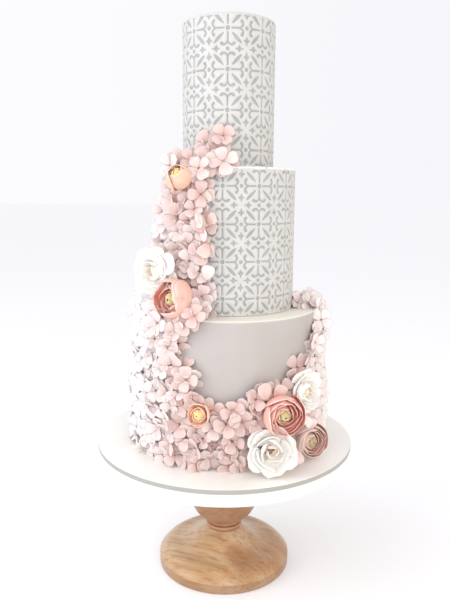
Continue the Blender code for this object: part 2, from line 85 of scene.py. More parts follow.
# %% Three soft lamps
LAMP_WIDTH = 1.2
LAMPS = {
    # place, what it shines at, watts, colour
    "window_light": ((-1.6, -0.7, 1.0), (0.0, 0.0, 0.34), 15.0, (1.0, 0.995, 0.99)),
    "front_light": ((0.3, -1.7, 0.9), (0.0, 0.0, 0.26), 10.5, (1.0, 0.99, 0.97)),
    "room_bounce": ((1.4, -1.0, 0.5), (0.0, 0.0, 0.3), 4.5, (1.0, 0.84, 0.56)),
}
for name, (place, aim, watts, colour) in LAMPS.items():
    lamp = bpy.data.lights.new(name, 'AREA')
    lamp.shape, lamp.size, lamp.energy, lamp.color = 'DISK', LAMP_WIDTH, watts, colour
    turn = (Vector(place) - Vector(aim)).to_track_quat('Z', 'Y').to_matrix().to_4x4()
    new_object(name, lamp, Matrix.Translation(place) @ turn)
bpy.context.scene.view_settings.view_transform = 'Standard'
print("lamps:", *LAMPS)

# %% [markdown]
# ## Short names for nodes
# The room and every finish are trees of nodes. One class gives each kind of node that is used here a short
# name, so that a finish can be read as a list of colours that are laid over one another, as a painter would
# say it.

# %% Nodes of a tree
def screen_colour(red, green, blue):
    """A colour as read from a screen, 0 to 255, turned into light: (c + 0.055) / 1.055 to the power 2.4."""
    c = np.array([red, green, blue]) / 255
    return (*np.where(c <= 0.04045, c / 12.92, ((c + 0.055) / 1.055) ** 2.4).tolist(), 1.0)


class Nodes:
    """The nodes of one tree. An input is the socket of another node or a plain value."""

    def __init__(self, tree):
        self.tree = tree

    def add(self, kind, inputs=None, **settings):
        """A node of a kind, with its settings and its inputs."""
        made = self.tree.nodes.new(kind)
        for key, value in settings.items():
            setattr(made, key, value)
        for key, value in (inputs or {}).items():
            if isinstance(value, bpy.types.NodeSocket):
                self.tree.links.new(value, made.inputs[key])
            else:
                made.inputs[key].default_value = value
        return made

    def math(self, operation, a, b=0.0, c=0.0, clamp=False):
        """One step of arithmetic. With MULTIPLY_ADD it is a times b plus c."""
        return self.add('ShaderNodeMath', {0: a, 1: b, 2: c}, operation=operation, use_clamp=clamp).outputs[0]

    def apart(self, value, middle):
        """How far a value lies from a middle, either way."""
        return self.math('ABSOLUTE', self.math('SUBTRACT', value, middle))

    def smooth(self, value, low, high, to_low=0.0, to_high=1.0):
        """A smooth step from one value to another, between low and high."""
        return self.add('ShaderNodeMapRange', {0: value, 1: low, 2: high, 3: to_low, 4: to_high},
                        interpolation_type='SMOOTHSTEP').outputs[0]

    def mix(self, share, a, b):
        """Two colours mixed. Three plain numbers are a colour as read from a screen."""
        a, b = (screen_colour(*c) if isinstance(c, tuple) else c for c in (a, b))
        return self.add('ShaderNodeMix', {0: share, 6: a, 7: b}, data_type='RGBA').outputs[2]

    def layers(self, base, *layers):
        """Colours laid over one another: each (share, colour) is mixed in over what is there."""
        for share, colour in layers:
            base = self.mix(share, base, colour)
        return base

    def place(self):
        """Where a point of the object lies, in metres."""
        return self.add('ShaderNodeTexCoord').outputs["Object"]

    def part(self, vector, axis):
        """X, Y or Z of a vector."""
        return self.add('ShaderNodeSeparateXYZ', {0: vector}).outputs[axis]

    def upward(self, kind):
        """How far the surface faces up, from its normal."""
        return self.part(self.add('ShaderNodeNewGeometry').outputs[kind], "Z")

    def vector(self, operation, a, b=(0.0, 0.0, 0.0), out=0):
        """One step of arithmetic with vectors. Its output 0 is a vector, and "Value" a length."""
        return self.add('ShaderNodeVectorMath', {0: a, 1: b}, operation=operation).outputs[out]

    def mapped(self, vector, turn=(0.0, 0.0, 0.0), scale=(1.0, 1.0, 1.0)):
        """A vector stretched and then turned."""
        return self.add('ShaderNodeMapping', {"Vector": vector, "Rotation": turn, "Scale": scale}).outputs[0]

    def noise(self, scale, detail=2.0, roughness=0.5, place=None, distortion=0.0):
        """Soft clouds from 0 to 1, of so many changes a metre."""
        place = self.place() if place is None else place
        return self.add('ShaderNodeTexNoise', {"Vector": place, "Scale": scale, "Detail": detail,
                                               "Roughness": roughness, "Distortion": distortion}).outputs[0]


print(f"middle grey as light: {screen_colour(128, 128, 128)[0]:.3f}")

# %% [markdown]
# ## The room
# The wall behind the cake is plain white, a little warmer and darker on the right. A photo of a room would
# bring in things that aren't there, so the room is a ramp of four colours from left to right.

# %% White room
ROOM_LEFT = (0.975, 0.975, 0.995, 1.0)
ROOM_RIGHT = (0.930, 0.922, 0.960, 1.0)
SIDE_WALL = (0.93, 0.88, 0.78, 1.0)
world = bpy.data.worlds.new("white_room")
world.use_nodes = True
bpy.context.scene.world = world
sky = Nodes(world.node_tree)
way = sky.add('ShaderNodeTexCoord').outputs["Generated"]
ramp = sky.add('ShaderNodeValToRGB', {0: sky.math('MULTIPLY_ADD', sky.part(way, "X"), 0.5, 0.5)})
ramp.color_ramp.interpolation = 'EASE'
stops = ramp.color_ramp.elements
for share, colour in ((0.33, ROOM_LEFT), (0.67, ROOM_RIGHT), (0.74, ROOM_RIGHT), (0.98, SIDE_WALL)):
    stops.new(share).color = colour
stops[0].color, stops[-1].color = ROOM_LEFT, SIDE_WALL
sky.tree.links.new(ramp.outputs[0], sky.tree.nodes["Background"].inputs["Color"])
print("colours of the room:", len(stops))

# %% [markdown]
# ## Helpers for every shape
# Turned wood and petals are the same kind of surface: a stack of closed rings with a point at each end. So
# one function joins rings into a closed skin, and another puts points and faces into a mesh. Working on whole
# arrays keeps this fast, and many petals can be joined in one call.

# %% Rings to a closed skin
def closed_skin(grid):
    """Points and faces of closed skins, from a grid (items, rings, sides, 3). Each ring is joined to the
    next one, and the first and the last ring are drawn together to one point each."""
    start, end, rings = grid[:, :1].mean(axis=2), grid[:, -1:].mean(axis=2), grid[:, 1:-1]
    items, count, sides, _ = rings.shape
    points = np.concatenate([start, rings.reshape(items, -1, 3), end], axis=1)
    stride = count * sides + 2
    row = np.arange(count - 1)[:, None] * sides + 1
    here = np.arange(sides)
    after = (here + 1) % sides
    low = stride - 1 - sides
    quads = np.stack([row + here, row + sides + here, row + sides + after, row + after], axis=-1)
    fans = np.stack([[0 * here, 1 + here, 1 + after], [0 * here + stride - 1, low + after, low + here]])
    fans = fans.transpose(0, 2, 1)
    first = (np.arange(items) * stride)[:, None, None]
    faces = [(f.reshape(1, -1, f.shape[-1]) + first).reshape(-1, f.shape[-1]) for f in (quads, fans)]
    return points.reshape(-1, 3), faces


def on_points(grid):
    """Values on a grid (items, rings, sides), in the order in which closed_skin puts the points."""
    rings = grid[:, 1:-1].reshape(len(grid), -1)
    return np.concatenate([grid[:, 0, :1], rings, grid[:, -1, :1]], axis=1).ravel()


def grid_quads(rows, columns, closed=False):
    """Faces between the points of a grid. A closed grid also joins its last row and column to the first."""
    i, j = np.meshgrid(*(np.arange(n if closed else n - 1) for n in (rows, columns)), indexing='ij')
    k, l = (i + 1) % rows, (j + 1) % columns
    return np.stack([i * columns + j, k * columns + j, k * columns + l, i * columns + l], -1).reshape(-1, 4)


# %% Meshes and pieces
def new_mesh(name, points, faces, values=None):
    """A smooth mesh. faces is a list of arrays, one for each number of corners, and values maps the name of
    a point attribute to its numbers."""
    mesh = bpy.data.meshes.new(name)
    corners = np.concatenate([f.ravel() for f in faces])
    sizes = np.concatenate([np.full(len(f), f.shape[1]) for f in faces])
    mesh.vertices.add(len(points))
    mesh.vertices.foreach_set("co", points.astype(np.float32).ravel())
    mesh.loops.add(len(corners))
    mesh.loops.foreach_set("vertex_index", corners.astype(np.int32))
    mesh.polygons.add(len(sizes))
    mesh.polygons.foreach_set("loop_start", (np.cumsum(sizes) - sizes).astype(np.int32))
    mesh.update(calc_edges=True)
    mesh.validate()
    mesh.shade_smooth()
    for key, numbers in (values or {}).items():
        mesh.attributes.new(key, 'FLOAT', 'POINT').data.foreach_set("value", numbers.astype(np.float32))
    return mesh


def add_piece(mesh, material, slot, *nodes):
    """Puts a finished mesh into the scene as a piece that stands for the named solids."""
    piece = new_object(mesh.name, mesh)
    mesh.materials.append(material)
    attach(piece, "root")
    if nodes:
        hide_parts(*nodes)
    print(f"{piece.name}: {sum(len(face.vertices) - 2 for face in mesh.polygons)} triangles")


def disc_of(solid):
    """Radius, middle, lower and upper height of a round solid."""
    low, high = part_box(solid)
    return (high.x - low.x) / 2, (high.x + low.x) / 2, low.z, high.z


BOARD_TOP = disc_of("cake_board")[3]
print(f"the cake stands {BOARD_TOP:.4f} m above the table")

# %% [markdown]
# ## Finishes
# All the sugar work shares one fine, powdery surface, so that is a node group: it gives a soft mottling for
# the colour and a fine height for the bump. The materials set its scale and strength, and mix their own
# colours.

# %% The shared sugar surface
SOCKETS = {"Grain scale": 'INPUT', "Cloud scale": 'INPUT', "Height": 'OUTPUT', "Mottling": 'OUTPUT'}
sugar_surface = bpy.data.node_groups.new("sugar_surface", 'ShaderNodeTree')
for name, way in SOCKETS.items():
    sugar_surface.interface.new_socket(name, in_out=way, socket_type='NodeSocketFloat')
powder = Nodes(sugar_surface)
given = powder.add('NodeGroupInput').outputs
clouds = powder.noise(given["Cloud scale"], 3.0, 0.55)
height = powder.math('MULTIPLY_ADD', clouds, 2.0, powder.noise(given["Grain scale"]))
powder.add('NodeGroupOutput', {"Height": height, "Mottling": clouds})
print("node group:", sugar_surface.name)


# %% Start and end of a material
class Finish(Nodes):
    """A material, begun with the plain values of its shader and ended with its colour and its bump."""

    def __init__(self, name, values):
        self.material = bpy.data.materials.new(name)
        self.material.use_nodes = True
        super().__init__(self.material.node_tree)
        self.shader = self.tree.nodes["Principled BSDF"]
        for key, value in values.items():
            self.shader.inputs[key].default_value = value

    def attribute(self, name):
        """A value that the mesh carries at its points."""
        return self.add('ShaderNodeAttribute', attribute_name=name).outputs["Fac"]

    def sugar(self, grain_scale, cloud_scale):
        """Height and mottling of the shared sugar surface."""
        made = self.add('ShaderNodeGroup', node_tree=sugar_surface)
        made.inputs["Grain scale"].default_value = grain_scale
        made.inputs["Cloud scale"].default_value = cloud_scale
        return made.outputs["Height"], made.outputs["Mottling"]

    def end(self, colour, height=None, depth=0.0):
        """Gives the shader its colour, and a bump from a height of 0 to 1 that is depth metres deep."""
        self.tree.links.new(colour, self.shader.inputs["Base Color"])
        if height is not None:
            bump = self.add('ShaderNodeBump', {"Height": height, "Distance": depth, "Strength": 1.0})
            self.tree.links.new(bump.outputs["Normal"], self.shader.inputs["Normal"])
        print("finish:", self.material.name)
        return self.material


PASTE_GRAIN = 900.0


def sugar_paste(name, colour, shade, roughness, cloud_scale, depth, ledge=None):
    """Plain sugar paste: two near colours mixed by the clouds, with the powdery bump. What faces up can
    be painted a paler colour, as painted light from above."""
    paste = Finish(name, {"Roughness": roughness})
    height, mottling = paste.sugar(PASTE_GRAIN, cloud_scale)
    base = paste.mix(paste.smooth(mottling, 0.35, 0.68), colour, shade)
    if ledge:
        # painted light: what faces up is mixed towards the paler colour
        base = paste.mix(paste.smooth(paste.upward("Normal"), 0.35, 0.9), base, ledge)
    return paste.end(base, height, depth)


# %% [markdown]
# ## The wooden foot
# The foot is turned on a lathe from a block whose grain lies flat, so the grain runs straight across it and
# shows as long diagonal lines on the domed foot. A turned shape is a profile carried round an axis. The grain
# is noise that is stretched along one flat direction, and it is cut by the shape as in real wood.

# %% Turned shapes
def turned_skin(profile, sides):
    """Each point of the profile, (radius, height), is carried round: (r cos t, r sin t, h)."""
    r, h = np.asarray(profile, float).T[:, :, None]
    t = np.arange(sides) * 2 * np.pi / sides
    return closed_skin(np.stack([r * np.cos(t), r * np.sin(t), h + 0 * t], axis=-1)[None])


def arc(centre, radii, start, end, steps):
    """Points on an ellipse round centre, from start to end degrees, 0 pointing outwards."""
    t = np.radians(np.linspace(start, end, steps + 1))
    return np.stack([centre[0] + radii[0] * np.cos(t), centre[1] + radii[1] * np.sin(t)], axis=-1).tolist()


def slab(radius, top, bottom, top_edge, low_edge, steps=8, rows=0):
    """Profile of a disc with rounded edges, closed by its middle points, with rows of points up its side."""
    shares = (0.0, 0.3, 0.6, 0.8)
    side = np.linspace(top - top_edge, bottom + low_edge, rows + 2)[1:-1]
    return ([(radius * s, top) for s in shares]
            + arc((radius - top_edge, top - top_edge), (top_edge, top_edge), 90, 0, steps)
            + [(radius, h) for h in side]
            + arc((radius - low_edge, bottom + low_edge), (low_edge, low_edge), 0, -90, steps)
            + [(radius * s, bottom) for s in shares[::-1]])


# %% Profile of the pedestal
FOOT_RADIUS = 0.0806
FOOT_EDGE = (0.0007, 0.0008)
FOOT_RIM = 0.0113
DOME = (0.0281, 0.0403)
FLARE_RADIUS = 0.0600
FLARE_HEIGHT = 0.0240
FLARE_POWER = 1.7
NECK_RADIUS = 0.0205
NECK_HEIGHT = 0.0447
BEAD_PITCH = 0.0058
BEAD_REACH = 0.0021
GROOVE_DEPTH = 0.0009
BOWL_HEIGHT = 0.1003
BOWL_REACH = 0.0240
BOWL_RISE = 0.0340
BOWL_DROP = 0.0433
COLLAR_RADIUS = 0.0400
COLLAR_EDGE = 0.003
COLLAR_DEPTH = 0.0100


def pedestal_profile():
    """Collar under the plate, round bowl, two beads, thin neck, and a flared foot with an upright rim."""
    top = disc_of("pedestal")[3]
    collar_middle, bowl = (COLLAR_RADIUS - COLLAR_EDGE, top - COLLAR_EDGE), (NECK_RADIUS, BOWL_HEIGHT)
    profile = [(0, top), (COLLAR_RADIUS / 2, top)] + arc(collar_middle, (COLLAR_EDGE, COLLAR_EDGE), 90, 0, 5)
    profile += [(COLLAR_RADIUS, top - COLLAR_DEPTH), (COLLAR_RADIUS - 0.0004, top - COLLAR_DEPTH - 0.0010)]
    profile += arc(bowl, (BOWL_REACH, BOWL_RISE), 48, 0, 10) + arc(bowl, (BOWL_REACH, BOWL_DROP), -4, -86, 22)
    for i in (1, 0):
        middle = NECK_HEIGHT + BEAD_PITCH * (i + 0.5)
        profile += [(NECK_RADIUS - GROOVE_DEPTH, middle + BEAD_PITCH / 2)]
        profile += arc((NECK_RADIUS - 0.0004, middle), (BEAD_REACH, BEAD_PITCH * 0.42), 78, -78, 8)
    profile += [(NECK_RADIUS - GROOVE_DEPTH, NECK_HEIGHT)]
    s = np.linspace(0.012, 1, 24)[:-1]
    flare = FLARE_HEIGHT + (NECK_HEIGHT - 0.0006 - FLARE_HEIGHT) * (1 - s) ** FLARE_POWER
    profile += np.stack([NECK_RADIUS + (FLARE_RADIUS - NECK_RADIUS) * s, flare], axis=-1).tolist()
    profile += arc((FLARE_RADIUS, FLARE_HEIGHT - DOME[1]), DOME, 90, 46, 14)
    profile += arc((FOOT_RADIUS - FOOT_EDGE[0], FOOT_RIM), FOOT_EDGE, 55, 0, 3)
    profile += [(FOOT_RADIUS, 0.0060), (FOOT_RADIUS, 0.0013), (FOOT_RADIUS - 0.0005, 0.0004)]
    return profile + [(FOOT_RADIUS - 0.0013, 0.0), (FLARE_RADIUS, 0.0), (0, 0)]


print("points in the pedestal's profile:", len(pedestal_profile()))

# %% Wood with flat grain
GRAIN_TURN = (0.10, 0.05, math.radians(28))
DARK_HEIGHT = 0.078
KNOT_PLACE = (0.0418, -0.0500, 0.0205)
KNOT_TURN = (0.0, 0.0, math.radians(24))
wood = Finish("turned_wood", {"Roughness": 0.36, "Coat Weight": 0.28, "Coat Roughness": 0.24})
place = wood.place()
along_grain = wood.mapped(place, GRAIN_TURN)
rise = wood.part(place, "Z")


def drawn_out(long, cross, detail, distortion=0.0):
    """Noise drawn out along the grain: few changes a metre along it, many across it."""
    return wood.noise(1.0, detail, 0.6, wood.mapped(along_grain, scale=(long, cross, cross)), distortion)


bands, streaks = drawn_out(5.0, 40.0, 2.0, 0.12), drawn_out(12.0, 300.0, 4.0, 0.06)
pores = drawn_out(45.0, 1000.0, 2.0)
from_beads = wood.apart(rise, NECK_HEIGHT + BEAD_PITCH)
beads = wood.smooth(from_beads, BEAD_PITCH + 0.0004, BEAD_PITCH + 0.0016, 1.0, 0.0)
between = wood.math('PINGPONG', wood.math('SUBTRACT', rise, NECK_HEIGHT), BEAD_PITCH / 2)
grooves = wood.math('MULTIPLY', beads, wood.smooth(between, 0.0002, 0.0011, 0.80, 0.0))
from_knot = wood.mapped(wood.vector('SUBTRACT', place, KNOT_PLACE), KNOT_TURN, (150.0, 330.0, 330.0))
from_knot = wood.vector('LENGTH', from_knot, out="Value")
knot = wood.math('MULTIPLY_ADD', wood.noise(420.0, 3.0, place=place), 0.9, from_knot)
base = wood.layers(
    (196, 166, 132),
    (wood.smooth(bands, 0.36, 0.66), (179, 138, 92)),
    (wood.smooth(streaks, 0.46, 0.70, 0.0, 0.52), (124, 86, 56)),
    (wood.smooth(wood.noise(15.0, 1.0), 0.50, 0.66, 0.0, 0.45), (148, 98, 68)),
    (wood.smooth(pores, 0.56, 0.72, 0.0, 0.40), (102, 74, 48)),
    # the darker lower bowl, the beads and their grooves, painted shade on the upright rim of the foot, and the
    # knot
    (wood.smooth(wood.apart(rise, DARK_HEIGHT), 0.018, 0.038, 0.56, 0.0), (128, 68, 40)),
    (wood.math('MULTIPLY', beads, 0.45), (170, 100, 68)),
    (grooves, (92, 50, 32)),
    # painted shade: the upright rim band of the foot is darker, as if it stood in shadow
    (wood.smooth(rise, FOOT_RIM - 0.0005, FOOT_RIM + 0.0005, 0.45, 0.0), (128, 88, 62)),
    (wood.smooth(knot, 0.9, 1.7, 0.75, 0.0), (112, 84, 58)))
foot = new_mesh("turned_foot", *turned_skin(pedestal_profile(), 128))
add_piece(foot, wood.end(base, pores, 0.00015), "wood", "pedestal")

# %% [markdown]
# ## Marble plate and cake board
# Both are flat discs. The plate is white marble with faint grey veins, and shows below the board as a white
# band. The board lies on it, a little wider, white on top with a greyer side.
# Both are turned like the foot, because a disc with rounded edges is a profile too. A vein lies where a noise
# is near its middle value.

# %% Plate and board
PLATE_RADIUS = 0.150
BOARD_RADIUS = 0.1525
_, _, low, high = disc_of("stand_plate")
plate = new_mesh("marble_plate", *turned_skin(slab(PLATE_RADIUS, high, low, 0.0012, 0.004), 160))
marble = Finish("white_marble", {"Roughness": 0.25, "Coat Weight": 0.3})
vein = marble.smooth(marble.apart(marble.noise(7.0, 6.0, 0.6), 0.5), 0.0, 0.030, 0.35, 0.0)
stone = marble.layers((236, 236, 237), (marble.smooth(marble.noise(16.0, 3.0), 0.4, 0.7), (229, 229, 230)),
                      (vein, (218, 217, 214)))
add_piece(plate, marble.end(stone), "marble", "stand_plate")

_, _, low, high = disc_of("cake_board")
board = new_mesh("white_board", *turned_skin(slab(BOARD_RADIUS, high, low, 0.0004, 0.0004, 3), 160))
paper = Finish("board_paper", {"Roughness": 0.38})
cover = paper.mix(paper.smooth(paper.noise(9.0, 5.0, 0.6), 0.42, 0.66), (239, 237, 233), (233, 231, 225))
base = paper.mix(paper.smooth(paper.upward("True Normal"), 0.75, 0.95), (163, 162, 155), cover)
add_piece(board, paper.end(base), "board", "cake_board")

# %% [markdown]
# ## The plain tier
# The lowest tier is covered in one sheet of pale grey sugar paste, smoothed by hand. It is a turned disc with
# a softly rounded upper edge, and its radius varies by fractions of a millimetre, as a smoothed sheet does. A
# perfect disc would shine too evenly. Its ledge catches more light, so what faces up is painted paler, as
# painted light.

# %% Plain tier
TIER_EDGE = 0.0032
FOLD = 0.0006
WAVE = 0.0008
radius, tier_x, low, high = disc_of("tier_bottom")
points, faces = turned_skin(slab(radius, high, low, TIER_EDGE, FOLD, 10, 24), 192)
angle = np.arctan2(points[:, 1], points[:, 0])
wave = np.sin(3 * angle + 22 * points[:, 2]) + 0.6 * np.sin(5 * angle - 31 * points[:, 2] + 1.0)
points[:, :2] *= (1 - WAVE * (1 + wave / 1.6))[:, None]
points[:, 0] += tier_x
# the last colour is painted light: the ledge, which faces up, is painted paler
fondant = sugar_paste("grey_sugar_paste", (180, 174, 172), (176, 169, 166), 0.48, 18.0, 0.00006,
                      (231, 227, 216))
add_piece(new_mesh("plain_tier", points, faces), fondant, "fondant", "tier_bottom")

# %% [markdown]
# ## The stencilled tiers
# White icing was spread over a stencil of the old tile pattern, so the white lattice stands proud and the
# grey paste shows in the openings. The openings are drawn once for one tile. A triangulation that keeps their
# outlines as edges gives the tile, the distance to the nearest outline gives the height of the icing, and the
# tile is then rolled round the tier. A bump in the material would be quicker, but its edges would catch no
# light.

# %% Openings of the stencil, in shares of a tile
def stroke(path, widths, cap_steps=3):
    """Outline of a brush stroke: the path moved to both sides by its half width, with round ends."""
    path, widths = np.asarray(path, float), np.asarray(widths, float)
    along = np.gradient(path, axis=0)
    along /= np.linalg.norm(along, axis=1)[:, None]
    side = np.stack([-along[:, 1], along[:, 0]], -1)
    left, right = path + side * widths[:, None], path - side * widths[:, None]
    t = np.linspace(0, np.pi, cap_steps + 2)[1:-1, None]
    end_cap = path[-1] + widths[-1] * (np.cos(t) * side[-1] + np.sin(t) * along[-1])
    start_cap = path[0] - widths[0] * (np.cos(t) * side[0] + np.sin(t) * along[0])
    return np.concatenate([left, end_cap, right[::-1], start_cap])


def dot(x, y, radius, corners=10, square=0.0):
    """A round opening, its radius swelled four times round by a share, so that it can be squarish."""
    t = np.arange(corners) * 2 * np.pi / corners + np.pi / corners
    swell = 1 + square * np.cos(4 * t)
    return np.stack([x + radius * swell * np.cos(t), y + radius * swell * np.sin(t)], -1)


def stencil_openings():
    """Flower of the tile: a dot, four lines that end in two hooks, four leaves, and darts at the corners.
    All but the middle dot are turned by 0, 90, 180 and 270 degrees round the middle of the tile."""
    hook = [(0.325, 0.0), (0.352, 0.022), (0.384, 0.050), (0.402, 0.088), (0.395, 0.130), (0.368, 0.168)]
    anchor = stroke(hook, [0.018, 0.020, 0.023, 0.027, 0.033, 0.036])
    bar = stroke([(0.105, 0), (0.17, 0), (0.25, 0), (0.345, 0)], [0.017, 0.018, 0.019, 0.020], 2)
    leaf_line = np.linspace(0.112, 0.356, 7)
    leaf = stroke(np.stack([leaf_line, leaf_line], -1), [0.007, 0.022, 0.034, 0.041, 0.041, 0.033, 0.014], 1)
    tips = [(0.066, 0), (0.140, 0.018), (0.170, 0.040), (0.196, 0.092), (0.222, 0.040), (0.250, 0.020),
            (0.304, 0)]
    dart = np.array(tips + [(x, -y) for x, y in tips[-2:0:-1]])
    corner_dart = np.stack([0.5 - dart[:, 0], 0.5 + dart[:, 1]], -1)
    turned = (anchor, anchor * (1, -1), bar, leaf, dot(0.5, 0, 0.049), corner_dart, corner_dart * (-1, 1))
    turns = [np.array([[c, -s], [s, c]]) for c, s in ((1, 0), (0, 1), (-1, 0), (0, -1))]
    return [dot(0, 0, 0.056, 12, -0.10)] + [shape @ turn.T for shape in turned for turn in turns]


def distance_to_openings(points, shapes):
    """Distance from each point to the nearest outline, below zero inside an opening."""
    nearest = np.full(len(points), 9.0)
    x, y = points[:, None, 0], points[:, None, 1]
    for start in shapes:
        end = np.roll(start, -1, axis=0)
        run = end - start
        share = ((points[:, None] - start) * run).sum(-1) / (run ** 2).sum(-1)
        foot = start + np.clip(share, 0, 1)[..., None] * run
        distance = np.linalg.norm(points[:, None] - foot, axis=-1).min(axis=1)
        above = (start[:, 1] > y) != (end[:, 1] > y)
        crossing = start[:, 0] + (y - start[:, 1]) / np.where(run[:, 1] == 0, 1, run[:, 1]) * run[:, 0]
        inside = (above & (x < crossing)).sum(axis=1) % 2 == 1
        nearest = np.minimum(nearest, np.where(inside, -distance, distance))
    return nearest


shapes = stencil_openings()
print("openings in a tile:", len(shapes))

# %% One tile as triangles
TILE = 0.0405
ICING = 0.0009
SLOPE_OUT = 0.00034
SLOPE_IN = 0.00022
EDGE_STEPS = 14
CLOSED_MARGIN = 0.0007
CLOSED_EDGE = 0.0006
CLEAR_OF_SLOPE = 1.4 * SLOPE_OUT / TILE


def grown(shape, by):
    """The outline moved outwards by a distance, along the mean of its two edges' normals."""
    before, after = shape - np.roll(shape, 1, axis=0), np.roll(shape, -1, axis=0) - shape
    normal = sum(np.stack([edge[:, 1], -edge[:, 0]], -1) / np.linalg.norm(edge, axis=1)[:, None]
                 for edge in (before, after))
    length = np.linalg.norm(normal, axis=1)[:, None]
    area = (shape[:, 0] * np.roll(shape[:, 1], -1) - shape[:, 1] * np.roll(shape[:, 0], -1)).sum()
    return shape + np.sign(area) * by * normal / np.maximum(length, 0.7)


def flat_tile(low, high, closed_low, closed_high):
    """One tile between two heights, in shares of a tile: points, triangles, and the icing's height at each
    point. Height is a smooth step of the distance to the openings, which stop short of an end that is
    closed."""
    across = np.linspace(-0.5, 0.5, EDGE_STEPS + 1)
    upwards = np.linspace(low, high, max(2, round((high - low) * EDGE_STEPS)) + 1)
    border = [(x, low) for x in across[:-1]] + [(0.5, y) for y in upwards[:-1]]
    border += [(x, high) for x in across[:0:-1]] + [(-0.5, y) for y in upwards[:0:-1]]
    loops = [np.array(border)]
    for shape in shapes:
        loops += [grown(shape, SLOPE_OUT / TILE), grown(shape, -SLOPE_IN / TILE)]
    verts, edges = [], []
    for loop in loops:
        numbers = list(range(len(verts), len(verts) + len(loop)))
        verts += loop.tolist()
        edges += list(zip(numbers, numbers[1:] + numbers[:1]))
    margin = CLOSED_MARGIN / TILE
    for y, closed in ((low + margin, closed_low), (high - margin, closed_high)):
        if closed:
            edges.append((len(verts), len(verts) + 1))
            verts += [(-0.6, y), (0.6, y)]
    inner = np.stack(np.meshgrid(across[1:-1], upwards[1:-1]), -1).reshape(-1, 2)
    far = np.abs(distance_to_openings(inner, shapes)) > CLEAR_OF_SLOPE
    verts += inner[far].tolist()
    whole = [list(range(len(border)))]
    points, _, triangles, _, _, origins = delaunay_2d_cdt(verts, edges, whole, 0, 1e-6)
    triangles = np.array([t for t, origin in zip(triangles, origins) if origin])
    used, triangles = np.unique(triangles, return_inverse=True)
    points = np.array([tuple(p) for p in points])[used]
    distance = distance_to_openings(points, shapes) * TILE
    for from_end, closed in ((points[:, 1] - low, closed_low), (high - points[:, 1], closed_high)):
        if closed:
            distance = np.maximum(distance, CLOSED_EDGE - from_end * TILE)
    share = np.clip((distance + SLOPE_IN) / (SLOPE_IN + SLOPE_OUT), 0, 1)
    return points, triangles.reshape(-1, 3), share * share * (3 - 2 * share)


print("steps along a tile's edge:", EDGE_STEPS)

# %% [markdown]
# The rows of tiles are then rolled up. The stencil was set against the tier a little below its rim, so the
# upper row is cut by the rounded edge. The skin is closed by carrying its upper and lower edge inwards to the
# middle.

# %% Roll the tiles round a tier
ROWS = 4
TIER_RIM = 0.0024
TIER_FOOT = 0.0004
FOOT_IN = 0.0002
WELD = 2e-6
SAME_LEVEL = 1e-6


def round_axis(angle, out, height, centre=0.0):
    """Points, or ways, by their angle from the front: (centre + out sin a, -out cos a, height)."""
    return np.stack(np.broadcast_arrays(centre + out * np.sin(angle), -out * np.cos(angle), height), -1)


def rolled_tier(name, solid, first_row, row_step, columns, turn):
    """A tile point (u, v) of a row goes to the angle of its column plus u, and to the row's middle height
    plus v steps. Its radius is the tier's, less the icing's thickness where there is none."""
    radius, centre, low, high = disc_of(solid)
    bottom, top = low + TIER_FOOT, high - TIER_RIM
    parts, count = [], 0
    for i in range(ROWS):
        middle = first_row - i * row_step
        lower, upper = i == ROWS - 1, i == 0
        end = bottom if lower else middle - row_step / 2
        start = top if upper else middle + row_step / 2
        ends = (end - middle) / row_step, (start - middle) / row_step
        flat, tile, icing_height = flat_tile(*ends, lower, upper)
        for column in range(columns):
            angle = turn + (flat[:, 0] + column) * 2 * math.pi / columns
            out = radius - ICING * (1 - icing_height)
            spots = round_axis(angle, out, middle + flat[:, 1] * row_step, centre)
            parts.append((spots, tile + count, icing_height))
            count += len(flat)
    points, triangles, height = (np.concatenate(arrays) for arrays in zip(*parts))
    _, first, back = np.unique(np.round(points / WELD).astype(np.int64), axis=0, return_index=True,
                               return_inverse=True)
    points, height, triangles = points[first], height[first], back.ravel()[triangles]
    triangles = triangles[(triangles != np.roll(triangles, 1, axis=1)).all(axis=1)]
    rim = [(radius, top)] + arc((radius - TIER_RIM, top), (TIER_RIM, TIER_RIM), 20, 90, 5)
    rim += [(radius * s, high) for s in (0.9, 0.7, 0.4, 0.15)]
    foot = [(radius, bottom), (radius - FOOT_IN, low), (radius * 0.6, low), (radius * 0.2, low)]
    for profile, level, flip in ((rim, top, False), (foot, bottom, True)):
        edge = np.flatnonzero(np.abs(points[:, 2] - level) < SAME_LEVEL)
        angle = np.arctan2(points[edge, 0] - centre, -points[edge, 1])
        edge, angle = edge[np.argsort(angle)], np.sort(angle)
        n, new = len(edge), []
        for r, z in profile[1:]:
            ring = np.arange(len(points), len(points) + n)
            points = np.concatenate([points, round_axis(angle, r, z, centre)])
            after, ring_after = np.roll(edge, -1), np.roll(ring, -1)
            new += [np.stack([edge, after, ring_after], -1), np.stack([edge, ring_after, ring], -1)]
            edge = ring
        new = np.concatenate(new + [np.stack([edge, np.roll(edge, -1), np.full(n, len(points))], -1)])
        points = np.concatenate([points, [[centre, 0, profile[-1][1]]]])
        triangles = np.concatenate([triangles, new[:, ::-1] if flip else new])
    height = np.concatenate([height, np.ones(len(points) - len(height))])
    return new_mesh(name, points, [triangles], {"icing": height})


